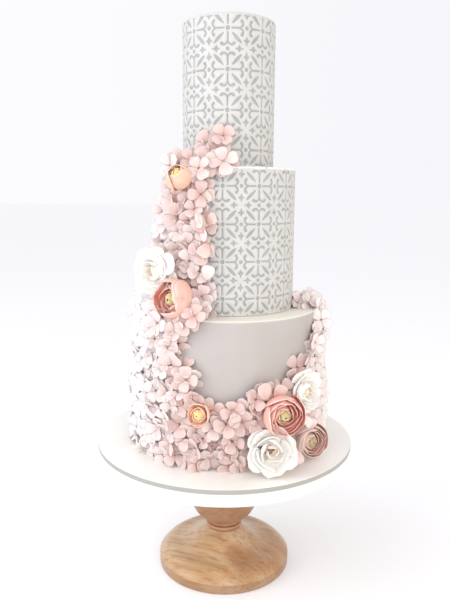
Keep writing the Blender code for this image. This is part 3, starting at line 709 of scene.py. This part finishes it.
# %% Stencilled icing
PHOTO_SCALE = 0.9928
STENCILS = {
    # middle of the first row over the board and height of a row, as solved from the photo, tiles round, turn
    "top": (0.46258, 0.04124, 8, -0.02496),
    "middle": (0.30062, 0.03993, 12, -0.0892),
}
icing = Finish("stencilled_icing", {"Roughness": 0.58})
height, mottling = icing.sugar(1100.0, 60.0)
mottled = icing.smooth(mottling, 0.35, 0.7)
white = icing.mix(mottled, (199, 199, 198), (195, 194, 191))
grey = icing.mix(mottled, (166, 167, 167), (158, 158, 157))
base = icing.mix(icing.smooth(icing.attribute("icing"), 0.25, 0.75), grey, white)
stencilled = icing.end(base, height, 0.00015)
for name, (first_row, row_step, columns, turn) in STENCILS.items():
    tier = rolled_tier("stencilled_tier_" + name, "tier_" + name, BOARD_TOP + first_row * PHOTO_SCALE,
                       row_step * PHOTO_SCALE, columns, turn)
    add_piece(tier, stencilled, "stencilled_icing", "tier_" + name)

# %% [markdown]
# ## The icing seam
# Where the top tier stands on the middle one, the baker closed the joint with soft icing and left its edge
# ragged. The middle tier's rim has a ragged edge of its own, where the stencil was lifted. Both are a thin
# rope carried round the tier. Its thickness is a sum of sines of the angle, so it closes on itself.

# %% Ragged ropes of icing
ROPE = 0.0013
ROPE_IN = 0.0002
ROPE_UP = 0.0004
RIM_IN = 0.0010
RIM_DOWN = 0.0014
ROPE_WAVES = ((0.30, 17, 1), (0.28, 29, 2), (0.22, 53, 0), (0.20, 71, 4))


def icing_rope(name, radius, height, centre, sides=240, corners=8):
    """A rope round a circle. Its thickness at angle t is ROPE times one plus several sines of whole
    multiples of t, and each cross section is a circle that is a little flattened."""
    t = np.arange(sides) * 2 * np.pi / sides
    rough = sum(share * np.sin(times * t + start) for share, times, start in ROPE_WAVES)
    thick = ROPE * (1 + 0.75 * rough)[:, None]
    a = np.arange(corners) * 2 * np.pi / corners
    out, up = radius - ROPE_IN + thick * 0.9 * np.cos(a), height + ROPE_UP + thick * np.sin(a)
    points = round_axis(t[:, None], out, up, centre)
    return new_mesh(name, points.reshape(-1, 3), [grid_quads(sides, corners, True)])


seam_paste = sugar_paste("seam_icing", (236, 235, 232), (228, 226, 221), 0.5, 90.0, 0.0002)
top_radius, top_x, top_low, _ = disc_of("tier_top")
middle_radius, middle_x, _, middle_high = disc_of("tier_middle")
add_piece(icing_rope("icing_seam", top_radius, top_low, top_x), seam_paste, "stencilled_icing")
rim = icing_rope("icing_rim", middle_radius - RIM_IN, middle_high - RIM_DOWN, middle_x)
add_piece(rim, seam_paste, "stencilled_icing")

# %% [markdown]
# ## Petals
# A sugar petal is a thin disc of paste, cupped by hand. Here it is a folded disc: rings run from the middle
# of its inner face out to the rim and back over the outer face, so it is closed and thin at the rim. For a
# flower, the petal lies on a ball round the flower's middle: its length runs from the base of the ball up the
# side, its width round it. Petals that reach past the widest part close the flower, and shorter ones open it.

# %% Outline and folds of one petal
INNER_FACE = (0.30, 0.58, 0.80, 0.93)
OUTER_FACE = (0.94, 0.78, 0.45)
PETAL_SIDES = 24
PETAL_MIDDLE = 0.55
PETAL_TAPER = 0.6
PETAL_BLUNT = 0.7
PETAL_START = math.radians(18)


def petal_rings(sides, fractions, taper, blunt):
    """across and along of a petal, each with the shape (rings, sides). The outline at turn s is along = (1
    - cos s) / 2 and across = sin(s) to a power, narrowed at the base. Rings are drawn in to its middle."""
    s = (np.arange(sides) + 0.5) * 2 * np.pi / sides
    along = (1 - np.cos(s)) / 2
    across = np.sign(np.sin(s)) * np.abs(np.sin(s)) ** blunt * (taper + (1 - taper) * along ** 0.6)
    share = np.asarray(fractions)[:, None]
    return across * share, PETAL_MIDDLE + (along - PETAL_MIDDLE) * share


def ball_petals(half, count, radius, reach, wide, turn, lift=0.0, squash=0.9, lap=0.0, ruffle=0.0, flare=0.0,
                waves=2.0, thick=0.0009, seed=0.0, point=0.0, uneven=0.05):
    """Closed petals of one layer on a ball: shape (petals, rings, sides, 3), with their rim share and their
    face. Angle up the ball grows with the length of the petal, angle round it with the width."""
    radius, lift, lap, ruffle, flare = (half * value for value in (radius, lift, lap, ruffle, flare))
    fractions = (0.0,) + INNER_FACE + (1.0,) + OUTER_FACE + (0.0,)
    across, along = petal_rings(PETAL_SIDES, fractions, PETAL_TAPER, PETAL_BLUNT)
    face = np.array([1.0] * (len(INNER_FACE) + 1) + [0.0] + [-1.0] * (len(OUTER_FACE) + 1))[:, None]
    share = np.array(fractions)[:, None]
    turns = (math.radians(turn) + np.arange(count) * 2 * np.pi / count)[:, None, None]
    own, other = np.sin(7.3 * turns + seed), np.cos(5 * turns + 2 * seed)
    ripple = np.sin(waves * across * 3 + 5 * own) * along ** 2
    r = radius * (1 + uneven * own) + lap * across + ruffle * ripple + flare * along ** 4
    r = r - thick / 2 * np.sqrt(np.clip(1 - share ** 4, 0, 1)) * face
    climb = PETAL_START + (math.radians(reach) * (1 + 0.8 * uneven * other) - PETAL_START) * along
    climb = climb + 2.0 * ruffle / radius * ripple
    climb = climb + point * np.clip(1 - 1.6 * np.abs(across), 0, 1) ** 2 * along ** 6
    angle = turns + math.radians(wide) * across
    grid = np.stack([r * np.sin(climb) * np.cos(angle), r * np.sin(climb) * np.sin(angle),
                     lift - squash * r * np.cos(climb)], -1)
    return grid, np.broadcast_to(share * along ** 0.5, r.shape), np.broadcast_to(face * 0.5 + 0.5, r.shape)


# %% Where the flowers sit
CAKE_X = 0.0029
FLOWERS = {
    # angle round the cake, distance from the axis, height over the board, facing, tilt, width
    "ranunculus_bud": (-35, 0.0915, 0.3062, -32, 46, 0.0275),
    "white_flower_left": (-53, 0.1010, 0.2070, -39, 4, 0.0490),
    "ranunculus_left": (-35.5, 0.1025, 0.1805, -38, 8, 0.0430),
    "ranunculus_small": (-15, 0.1185, 0.0640, -20, 6, 0.0235),
    "ranunculus_large": (28, 0.1260, 0.0625, 12, -2, 0.0435),
    "white_rose_front": (21, 0.1275, 0.0270, 10, 14, 0.0500),
    "white_flower_right": (44, 0.1210, 0.0815, 42, 8, 0.0430),
    "ranunculus_dusky": (49, 0.1230, 0.0225, 24, 2, 0.0370),
}


def unit(v):
    """Vectors drawn out or in to a length of 1."""
    return v / np.maximum(np.linalg.norm(v, axis=-1, keepdims=True), 1e-9)


def on_cake(angle, out, height):
    """Points by their angle round the cake in degrees, distance from the axis and height over the board."""
    return round_axis(np.radians(angle), out, BOARD_TOP + height, CAKE_X)


def facing(face, tilt):
    """The way that something looks, from its angle round the cake and its tilt upwards, and a level way
    beside."""
    face, tilt = np.radians(face), np.radians(tilt)
    look = round_axis(face, np.cos(tilt), np.sin(tilt))
    return look, unit(np.cross([0, 0, 1], look))


def flower_mesh(name, layers):
    """All layers of a flower in one mesh, put in its place. heart is 0 on the outer layer, 1 on the
    innermost."""
    angle, out, height, face, tilt, width = FLOWERS[name]
    skins, total = [], 0
    for k, layer in enumerate(layers):
        grid, edge, inside = ball_petals(width / 2, **layer)
        points, (quads, fans) = closed_skin(grid)
        heart = np.full(len(points), k / max(1, len(layers) - 1))
        skins.append((points, quads + total, fans + total, on_points(edge), on_points(inside), heart))
        total += len(points)
    points, quads, fans, edge, inside, heart = (np.concatenate(arrays) for arrays in zip(*skins))
    look, level = facing(face, tilt)
    points = points @ np.stack([level, np.cross(look, level), look]) + on_cake(angle, out, height)
    return new_mesh("petals_" + name, points, [quads, fans], {"edge": edge, "inside": inside, "heart": heart})


def petals(count, radius, reach, wide, turn=0.0, **more):
    """One layer, with lengths as shares of the flower's half width and angles in degrees."""
    return {"count": count, "radius": radius, "reach": reach, "wide": wide, "turn": turn, **more}


print("large flowers:", len(FLOWERS))

# %% [markdown]
# ## Petal finishes
# The petals were dusted with colour, deeper inside a flower and nearly white at the rims, and the thin paste
# lets light in. So each face of a petal, the innermost petals and the rims have colours of their own, told
# apart by the values that the shape carries.

# %% Finish of thin paste
GLOW_SHARE = 0.35
GLOW_DEPTH = 0.004


def thin_paste(name, glow):
    """A finish that lets light in: it spreads a few millimetres, most of it in the paste's own colour."""
    return Finish(name, {"Roughness": 0.55, "Subsurface Weight": GLOW_SHARE, "Subsurface Scale": GLOW_DEPTH,
                         "Subsurface Radius": screen_colour(*glow)[:3]})


def petal_paste(name, outer, inner, heart, rim):
    """Outer face, inner face, innermost petals and rims each have their own colour, with powdery
    mottling."""
    paste = thin_paste(name + "_petals", rim)
    height, mottling = paste.sugar(1400.0, 160.0)
    inside, heart_share, edge = (paste.attribute(key) for key in ("inside", "heart", "edge"))
    deep = paste.math('MULTIPLY_ADD', heart_share, 0.35, paste.math('MULTIPLY', inside, 0.75), clamp=True)
    base = paste.layers(
        outer,
        (deep, inner),
        (paste.smooth(heart_share, 0.80, 0.95), heart),
        (paste.smooth(edge, 0.80, 1.0, 0.0, 0.80), rim),
        (paste.smooth(mottling, 0.35, 0.7, 0.0, 0.18), rim))
    return paste.end(base, height, 0.00012)


PETAL_COLOURS = {
    # outer face, inner face, heart, rim
    "peach": ((231, 184, 172), (226, 140, 124), (210, 196, 132), (249, 214, 202)),
    "blush": ((229, 170, 156), (228, 148, 132), (208, 192, 124), (250, 220, 212)),
    "yellow_peach": ((238, 184, 162), (244, 194, 164), (236, 212, 120), (250, 222, 204)),
    "dusky": ((238, 214, 206), (196, 146, 134), (184, 168, 116), (236, 212, 200)),
    "white": ((254, 254, 252), (254, 251, 246), (238, 220, 196), (254, 253, 251)),
}
pastes = {name: petal_paste(name, *colours) for name, colours in PETAL_COLOURS.items()}

# %% [markdown]
# ## The large flowers
# A ranunculus is made of many cups inside one another, so it has rings of four petals that close a little
# more towards the middle, and a button of small ones. The white flowers lie open: their outer petals are
# wide, ruffled and pointed.

# %% Ranunculus flowers
RANUNCULUS = {
    # paste, slot, rings of cups, how far they close in degrees, size of the button, turn of one longer petal
    "ranunculus_left": ("peach", "sugar_peach", 2, 128, 0.30, 20),
    "ranunculus_large": ("blush", "sugar_peach", 4, 114, 0.22, 195),
    "ranunculus_small": ("yellow_peach", "sugar_peach", 2, 104, 0.34, 250),
    "ranunculus_dusky": ("dusky", "sugar_dusky", 5, 112, 0.24, None),
}


def cup_layers(rings, closing, button, front):
    """Cups of four petals inside one another, then two small cups and a button. front turns one longer
    petal."""
    layers = []
    if front is not None:
        layers.append(petals(1, 1.01, closing + 10, 60, front, lap=0.05, ruffle=0.03, thick=0.0012, seed=3,
                             uneven=0.0))
    for i in range(rings):
        share = i / max(1, rings - 1)
        layers.append(petals(4, 1.0 - 0.36 * share, closing - 2 + 3 * share, 62, 37 * i + 10, lap=0.07,
                             ruffle=0.03, waves=1.5, lift=-0.02 * i, thick=0.0011, seed=i, uneven=0.06))
    return layers + [petals(5, 0.48, 126, 55, 20, lift=-0.14, lap=0.05, seed=5),
                     petals(5, 0.36, 138, 55, 50, lift=-0.10, lap=0.04, seed=6),
                     petals(6, button, 172, 50, lift=0.04, lap=0.03, thick=0.0008, seed=7)]


for name, (paste, slot, *cups) in RANUNCULUS.items():
    add_piece(flower_mesh(name, cup_layers(*cups)), pastes[paste], slot, name)
bud = [petals(3, 1.0, 148, 75, 330, lap=0.08, thick=0.0011, uneven=0.03),
       petals(3, 0.90, 146, 70, 30, lap=0.06, seed=1),
       petals(4, 0.74, 150, 60, 10, lap=0.05, seed=2),
       petals(5, 0.42, 172, 50, 10, lift=0.30, lap=0.04, seed=3)]
add_piece(flower_mesh("ranunculus_bud", bud), pastes["yellow_peach"], "sugar_peach", "ranunculus_bud")

# %% White flowers
def rose_layers(turn):
    """A wide open flower: loose, ruffled outer petals with a pointed tip, and a small cup in the middle."""
    return [petals(5, 1.00, 84, 50, turn, squash=0.46, lift=0.14, ruffle=0.08, flare=0.08, lap=0.08, waves=1.5,
                   seed=1, point=0.22, uneven=0.09),
            petals(4, 0.86, 94, 56, turn + 30, squash=0.62, lift=0.18, ruffle=0.08, flare=0.06, lap=0.08,
                   waves=1.3, seed=2, point=0.15, uneven=0.09),
            petals(3, 0.66, 104, 66, turn + 75, squash=0.80, lift=0.20, ruffle=0.06, lap=0.10, waves=1.2,
                   seed=3, uneven=0.08),
            petals(3, 0.44, 118, 66, turn + 20, squash=0.95, lift=0.16, ruffle=0.05, lap=0.09, seed=4,
                   uneven=0.08),
            petals(3, 0.24, 134, 60, turn + 60, squash=1.1, lift=0.12, lap=0.05, seed=5)]


for name, turn in (("white_rose_front", 270), ("white_flower_left", 200), ("white_flower_right", 100)):
    add_piece(flower_mesh(name, rose_layers(turn)), pastes["white"], "sugar_white", name)

# %% [markdown]
# ## The hydrangea garland
# Hundreds of small flowers of four petals each lie over one another from the top tier down to the board.
# Under them the real garland has a soft base that they are pushed into. The base follows the cake's side,
# which steps out at each tier, so places are counted along the side from the top. The florets are then thrown
# on at random, in an under and an upper layer, and one is kept only where it has room. Each leans its own
# way.

# %% The side of the cake as a path
CORNER_ROUNDING = 0.0070
# Upper edges of the flowers as (angle, height over the board in mm): the garland, its run down the front of
# the middle tier and the spray on the top tier
GARLAND_EDGE = (
    (-124, 8), (-119, 70), (-112, 160), (-104, 196), (-88, 226), (-70, 252), (-56, 282), (-44, 318), (-38, 330),
    (-31, 330), (-29, 128), (-22, 104), (-18, 84), (-13, 70), (0, 68), (8, 76), (20, 84), (36, 90), (46, 108),
    (56, 118), (64, 138), (72, 150), (80, 168), (96, 168), (104, 110), (108, 40), (112, 8))
FRONT_EDGE = ((-48, 322), (-38, 330), (-18, 330))
SPRAY_EDGE = ((-52, 320), (-42, 334), (-30, 345), (-12, 353), (-4, 350), (-2, 330))

base_radius, _, _, low_ledge = disc_of("tier_bottom")
low_ledge, high_ledge = low_ledge - BOARD_TOP, middle_high - BOARD_TOP
side_path = np.array([(top_radius, high_ledge + 0.060), (top_radius, high_ledge), (middle_radius, high_ledge),
                      (middle_radius, low_ledge), (base_radius, low_ledge), (base_radius, 0.0)])
marks = np.concatenate([[0.0], np.cumsum(np.linalg.norm(np.diff(side_path, axis=0), axis=1))])


def path_point(mark):
    """Radius and height at a distance along the side, for an array of distances."""
    return np.stack([np.interp(mark, marks, side_path[:, 0]), np.interp(mark, marks, side_path[:, 1])], -1)


def path_normal(mark):
    """Outward direction in the plane of radius and height, blended across each corner."""
    run = path_point(mark + CORNER_ROUNDING) - path_point(mark - CORNER_ROUNDING)
    return unit(np.stack([-run[..., 1], run[..., 0]], -1))


def edge_mark(edge, angle):
    """Distance along the side at which the flowers begin, for an array of angles."""
    angles, heights = np.array(edge, float).T
    fine = np.linspace(0, marks[-1], 4000)
    return np.interp(-np.interp(angle, angles, heights / 1000), -path_point(fine)[:, 1], fine)


def over_side(angle, mark, off):
    """Points at an angle and a distance along the side, lifted off it, and the way outwards there."""
    normal = path_normal(mark)
    spot = path_point(mark) + np.asarray(off)[..., None] * normal
    out = round_axis(np.radians(angle), normal[..., 0], normal[..., 1])
    return on_cake(angle, spot[..., 0], spot[..., 1]), out


print(f"the side of the cake is {marks[-1]:.3f} m long")

# %% Soft base of the garland
PAD = 0.0026
PAD_ROWS = 40
PAD_BUMPS = 0.0008
PAD_UNDER = 0.0001
BEHIND_EDGE = 0.006
LEAST_RUN = 0.004
BASE_MARK = marks[-1] - 0.0012
FRONT_MARK = marks[4] + 0.012
SPRAY_MARK = marks[2] + 0.008
PADS = {
    # upper edge, where it ends, how far it is drawn in at both sides in degrees, columns
    "garland_base": (GARLAND_EDGE, BASE_MARK, 5.0, 90),
    "garland_base_front": (FRONT_EDGE, FRONT_MARK - 0.008, 6.0, 24),
    "garland_base_spray": (SPRAY_EDGE, SPRAY_MARK, 7.0, 24),
}


def garland_base(name, edge, last, inset, n):
    """A thin closed pad over the side of the cake, drawn in from the flowers' edge so that they hide it. A
    point lies at an angle and a distance along the side, lifted by PAD times a share that falls to 0 at the
    rim."""
    across = np.linspace(edge[0][0] + inset, edge[-1][0] - inset, n)
    start = np.max([edge_mark(edge, across + turn) for turn in (-inset, 0, inset)], axis=0) + BEHIND_EDGE
    start = np.minimum(start, last - LEAST_RUN)
    share = np.linspace(0, 1, PAD_ROWS)[:, None]
    mark = start + (last - start) * share
    angle = np.broadcast_to(across, mark.shape)
    sides = np.minimum(np.arange(n), np.arange(n)[::-1]) / 2
    thin = np.sqrt(np.clip(np.minimum(share, 1 - share) * 12, 0, 1)) * np.sqrt(np.clip(sides, 0.02, 1))
    bumps = PAD_BUMPS * np.sin(across * 0.9 + mark * 260) * np.sin(mark * 420 - across * 0.5)
    skins = [over_side(angle, mark, off)[0].reshape(-1, 3)
             for off in ((PAD + bumps) * thin + 2 * PAD_UNDER, np.full(mark.shape, PAD_UNDER))]
    face, under = grid_quads(PAD_ROWS, n), PAD_ROWS * n
    rim = np.concatenate([np.arange(n), np.arange(2, PAD_ROWS) * n - 1,
                          np.arange(under - 1, under - n - 1, -1), np.arange(PAD_ROWS - 2, 0, -1) * n])
    wall = np.stack([rim, np.roll(rim, -1), np.roll(rim, -1) + under, rim + under], -1)
    mesh = new_mesh(name, np.concatenate(skins), [np.concatenate([face, face[:, ::-1] + under, wall])])
    body = bmesh.new()
    body.from_mesh(mesh)
    bmesh.ops.remove_doubles(body, verts=body.verts[:], dist=0.00001)
    bmesh.ops.recalc_face_normals(body, faces=body.faces[:])
    body.to_mesh(mesh)
    body.free()
    return mesh


pad_paste = sugar_paste("garland_base", (244, 222, 217), (236, 208, 202), 0.7, 90.0, 0.0002)
for name, pad in PADS.items():
    add_piece(garland_base(name, *pad), pad_paste, "sugar_hydrangea", "hydrangea_garland")

# %% Places of the florets
REGIONS = ((GARLAND_EDGE, BASE_MARK), (FRONT_EDGE, FRONT_MARK), (SPRAY_EDGE, SPRAY_MARK))
LOWEST = 0.005
FLOWER_SUNK = 0.004
ROOM_ROUND_FLOWER = 0.003
THROWS = 14000
draw = np.random.default_rng(23)


def in_regions(angle, mark):
    """True where a place lies below the upper edge of one of the three stretches of flowers."""
    inside = np.zeros(len(angle), bool)
    for edge, last in REGIONS:
        span = (angle > edge[0][0]) & (angle < edge[-1][0])
        inside |= span & (mark > edge_mark(edge, angle)) & (mark < last - LOWEST)
    return inside


def thrown_places(gap, low_lift, high_lift, share):
    """Places are thrown at random, and one is kept only where it is a gap away from all that are kept
    before it. Those inside a large flower, taken as a ball of a share of its width, are then left out."""
    angle = draw.uniform(GARLAND_EDGE[0][0], GARLAND_EDGE[-1][0], THROWS)
    mark = draw.uniform(0, BASE_MARK, THROWS)
    lift = draw.uniform(low_lift, high_lift, THROWS)
    inside = in_regions(angle, mark)
    spots, outward = over_side(angle[inside], mark[inside], lift[inside])
    kept = []
    for i, spot in enumerate(spots):
        if not kept or np.linalg.norm(spots[kept] - spot, axis=1).min() > gap:
            kept.append(i)
    spots, outward = spots[kept], outward[kept]
    clear = np.ones(len(spots), bool)
    for angle, out, height, _, _, width in FLOWERS.values():
        away = np.linalg.norm(spots - on_cake(angle, out - FLOWER_SUNK, height), axis=1)
        clear &= away > share * width / 2 + ROOM_ROUND_FLOWER
    print("florets:", clear.sum())
    return spots[clear], outward[clear]


under_places = thrown_places(0.0126, 0.0030, 0.0045, 0.62)
over_places = thrown_places(0.0134, 0.0055, 0.0085, 1.0)

# %% Petals of the florets
FLORET_LENGTH = 0.0146
FLORET_HALF_WIDTH = 0.0083
FLORET_CUP = 0.0058
FLORET_BEND = 0.0050
FLORET_THICK = 0.0006
FLORET_HEART = 0.0004
FLORET_SUNK = 0.0012
PETAL_OVER_PETAL = 0.0005
FLORET_SHARES = (0.0, 0.52, 0.86, 1.0, 0.70, 0.0)
FLORET_FACES = (1.0, 1.0, 1.0, 0.0, -1.0, -1.0)


def spread(low, high, *shape):
    """Random values between low and high, with two more axes for the rings and the sides of a petal."""
    return draw.uniform(low, high, shape)[..., None, None]


def turned_by(angle, a, b):
    """Two coordinates turned by an angle."""
    return a * np.cos(angle) - b * np.sin(angle), a * np.sin(angle) + b * np.cos(angle)


def floret_petals(name, spots, frames, size, opening, tint, each=4, sides=10):
    """Petals round the middle of each floret. In a petal's own axes, x is its width, y its length and z its
    face: it is cupped by the square of its width, its tip bends by the square of its length, and it thins
    to its rim."""
    count = len(spots)
    share, face = np.array(FLORET_SHARES)[:, None], np.array(FLORET_FACES)[:, None]
    across, along = petal_rings(sides, FLORET_SHARES, 0.30, 0.66)
    size, opening = (np.asarray(values).reshape(-1, 1, 1, 1) for values in (size, opening))
    y = FLORET_HEART + along * (FLORET_LENGTH * size * spread(0.93, 1.07, count, each))
    x = across * (FLORET_HALF_WIDTH * size * spread(0.92, 1.08, count, each))
    cup, bend, twist = (spread(a, b, count, each) for a, b in ((0.10, 0.45), (-0.35, 0.25), (-0.25, 0.25)))
    thick = FLORET_THICK * np.sqrt(np.clip(1 - share ** 4, 0, 1)) * face
    z = (cup * across ** 2 * FLORET_CUP * size + bend * along ** 2 * FLORET_BEND * size + twist * x * along
         + thick / 2)
    y, z = turned_by(opening + spread(-0.14, 0.14, count, each), y, z)
    turn = (np.arange(each) * 2 * np.pi / each)[None, :, None, None]
    x, y = turned_by(turn + spread(-0.10, 0.10, count, each), x, y)
    z = z + np.where(np.arange(each) % 2, PETAL_OVER_PETAL, 0.0)[None, :, None, None]
    local = np.stack([x, y, z - FLORET_SUNK], -1)
    grid = np.einsum('nij,npabj->npabi', frames, local) + spots[:, None, None, None]
    points, faces = closed_skin(grid.reshape(count * each, *grid.shape[2:]))
    values = {"reach": along, "edge": share, "tint": np.repeat(tint, each)[:, None, None]}
    shape = (count * each, *across.shape)
    values = {key: on_points(np.broadcast_to(value, shape)) for key, value in values.items()}
    return new_mesh(name, points, faces, values)


print(f"a floret is {2 * FLORET_LENGTH * 1000:.0f} mm across")

# %% Finish and shade of the florets
LEAN = 0.30
LEDGE_TURN = 0.9
FRONT_TURN = 0.30
FRONT = np.array([0.0, -1.0, 0.0])
SHADE_RIGHT = 0.45
SHADE_TOP = 0.30
# Where the florets' pink changes, in metres: from a start, over a length, and down to a least share. Towards
# the window they are paler, partly their own paleness and partly painted light, and at the right edge they are
# paler as painted light from the room.
FROM_LEFT, BELOW, TOP_TIER = (-0.10, 0.14), (-0.36, 0.12), (0.38, 0.10)
PAST_WINDOW, BEFORE_BOUNCE = (-0.095, 0.045, 0.05), (-0.125, 0.05, 0.15)
floret = thin_paste("hydrangea_petals", (248, 240, 239))
height, mottling = floret.sugar(1500.0, 220.0)
tint = floret.attribute("tint")
pale = floret.mix(tint, (241, 236, 237), (215, 187, 181))
deep = floret.mix(tint, (242, 232, 230), (200, 158, 149))
base = floret.layers(
    deep,
    (floret.smooth(floret.attribute("reach"), 0.05, 0.70), pale),
    (floret.smooth(floret.attribute("edge"), 0.85, 1.0, 0.0, 0.45), (252, 243, 240)),
    (floret.math('MULTIPLY', tint, floret.smooth(mottling, 0.4, 0.7, 0.0, 0.30)), (234, 204, 198)))
floret_paste = floret.end(base, height, 0.0001)


def share_of(value, start, length, least=0.0):
    """0 at the start, 1 from a length beyond it on, and never below the least share."""
    return np.clip((value - start) / length, least, 1)


def add_florets(name, places, size, opening, tint):
    """Florets at their places. Each leans from the cake's outward way, and on a ledge it turns outwards. Its
    pink is paler towards the window, partly the florets' own paleness and partly painted light, and paler at
    the right edge as painted light; it is deeper on the top tier and low on the right."""
    spots, out = places
    count = len(spots)
    x, z = spots[:, 0], spots[:, 2]
    shade = (draw.uniform(*tint, count) + SHADE_RIGHT * share_of(x, *FROM_LEFT) * share_of(-z, *BELOW)
             + SHADE_TOP * share_of(z, *TOP_TIER))
    # painted light: the pink fades towards the window, partly the florets' own paleness, and at the right edge
    shade = np.clip(shade, 0, 1) * share_of(x, *PAST_WINDOW) * share_of(-x, *BEFORE_BOUNCE)
    radial = unit((spots - (CAKE_X, 0, 0)) * (1, 1, 0))
    faced = out + LEDGE_TURN * out[:, 2:] * (radial + FRONT) + FRONT_TURN * FRONT
    look = unit(faced + LEAN * draw.normal(size=out.shape))
    side = unit(np.cross(look, draw.normal(size=out.shape)))
    frames = np.stack([side, np.cross(look, side), look], axis=-1)
    size, opening = draw.uniform(*size, count), draw.uniform(*opening, count)
    mesh = floret_petals(name, spots, frames, size, opening, shade)
    add_piece(mesh, floret_paste, "sugar_hydrangea", "hydrangea_garland")


add_florets("hydrangea_under", under_places, (0.92, 1.08), (0.0, 0.30), (0.55, 1.0))
add_florets("hydrangea_over", over_places, (0.80, 1.08), (0.05, 0.42), (0.35, 1.0))

# %% [markdown]
# ## Larger single petals
# A few broader petals are tucked in between the florets, and three white ones lie beside the left white
# flower. Each is set one by one: where it lies, which way it faces, how large and how cupped it is, and how
# deep its pink is. They use the florets' own petal, because they were cut with the same cutter.

# %% Single petals set one by one
SINGLES = (
    # angle, out, height, face, tilt, roll, size, opening, tint
    (-16, 0.0870, 0.2650, 2, 18, 200, 0.95, 0.55, 0.55),
    (-16, 0.0865, 0.2620, 0, 10, 20, 0.95, 0.50, 1.00),
    (-17, 0.0900, 0.2500, -8, 0, 120, 1.20, 0.25, 1.15),
    (-14, 0.0880, 0.2400, -4, -4, 240, 1.05, 0.20, 1.10),
    (-24, 0.0920, 0.2590, -20, 6, 10, 1.00, 0.35, 0.60),
    (-16, 0.0870, 0.2000, -6, 6, 80, 1.10, 0.30, 0.50),
    (20, 0.1200, 0.0800, 12, 16, 105, 1.25, 0.40, 1.20),
    (25, 0.1180, 0.0800, 20, 10, 60, 1.15, 0.50, 1.10),
    (42, 0.1230, 0.0560, 36, 6, 300, 0.95, 0.30, 0.40),
    (48, 0.1230, 0.0500, 44, 0, 300, 0.85, 0.20, 0.60),
    (34, 0.1300, 0.0260, 22, 4, 270, 1.10, 0.35, 0.90),
)
WHITE_SINGLES = (
    (-51, 0.0990, 0.2080, -26, 8, 30, 1.85, 0.12, 0.0),
    (-51, 0.0985, 0.2050, -28, 0, 340, 1.80, 0.10, 0.0),
    (-53, 0.0990, 0.2100, -34, 14, 80, 1.75, 0.15, 0.0),
)


def set_petals(name, table):
    """Single petals from a table. A petal's length is its frame's second direction, and roll turns that one
    from level to upright."""
    angle, out, height, face, tilt, roll, size, opening, tint = np.array(table).T
    look, level = facing(face, tilt)
    roll = np.radians(roll)[:, None]
    second = np.cos(roll) * level + np.sin(roll) * np.cross(look, level)
    frames = np.stack([np.cross(second, look), second, look], -1)
    return floret_petals(name, on_cake(angle, out, height), frames, size, opening, tint, 1, 20)


add_piece(set_petals("single_petals", SINGLES), floret_paste, "sugar_hydrangea", "hydrangea_garland")
add_piece(set_petals("white_single_petals", WHITE_SINGLES), pastes["white"], "sugar_white",
          "white_flower_left")

# %% [markdown]
# ## Floor and finish
# The table is so bright that its far edge can't be told from the wall. So the floor is a wide pale sheet that
# glows a little and isn't part of the object, with a soft grey patch where the stand keeps light off it.

# %% Floor
FLOOR_HALF = 30.0
FLOOR_DROP = 0.0002
FLOOR_GLOW = 0.19
PATCH_PLACE = (0.13, 0.02, 0.0)
PATCH_REACH = 0.26
PATCH_SHARE = 0.6
corners = np.array([(-1, -1), (1, -1), (1, 1), (-1, 1)]) * FLOOR_HALF
sheet = new_mesh("floor", np.column_stack([corners, np.full(4, -FLOOR_DROP)]), [np.array([[0, 1, 2, 3]])])
table = Finish("pale_floor", {"Roughness": 0.75, "Emission Color": (1.0, 1.0, 1.0, 1.0),
                              "Emission Strength": FLOOR_GLOW})
away = table.vector('DISTANCE', table.place(), PATCH_PLACE, "Value")
base = table.layers((226, 226, 229), (table.noise(3.0), (225, 225, 228)),
                    (table.smooth(away, 0.0, PATCH_REACH, PATCH_SHARE, 0.0), (206, 204, 202)))
sheet.materials.append(table.end(base))
floor = new_object("floor", sheet)
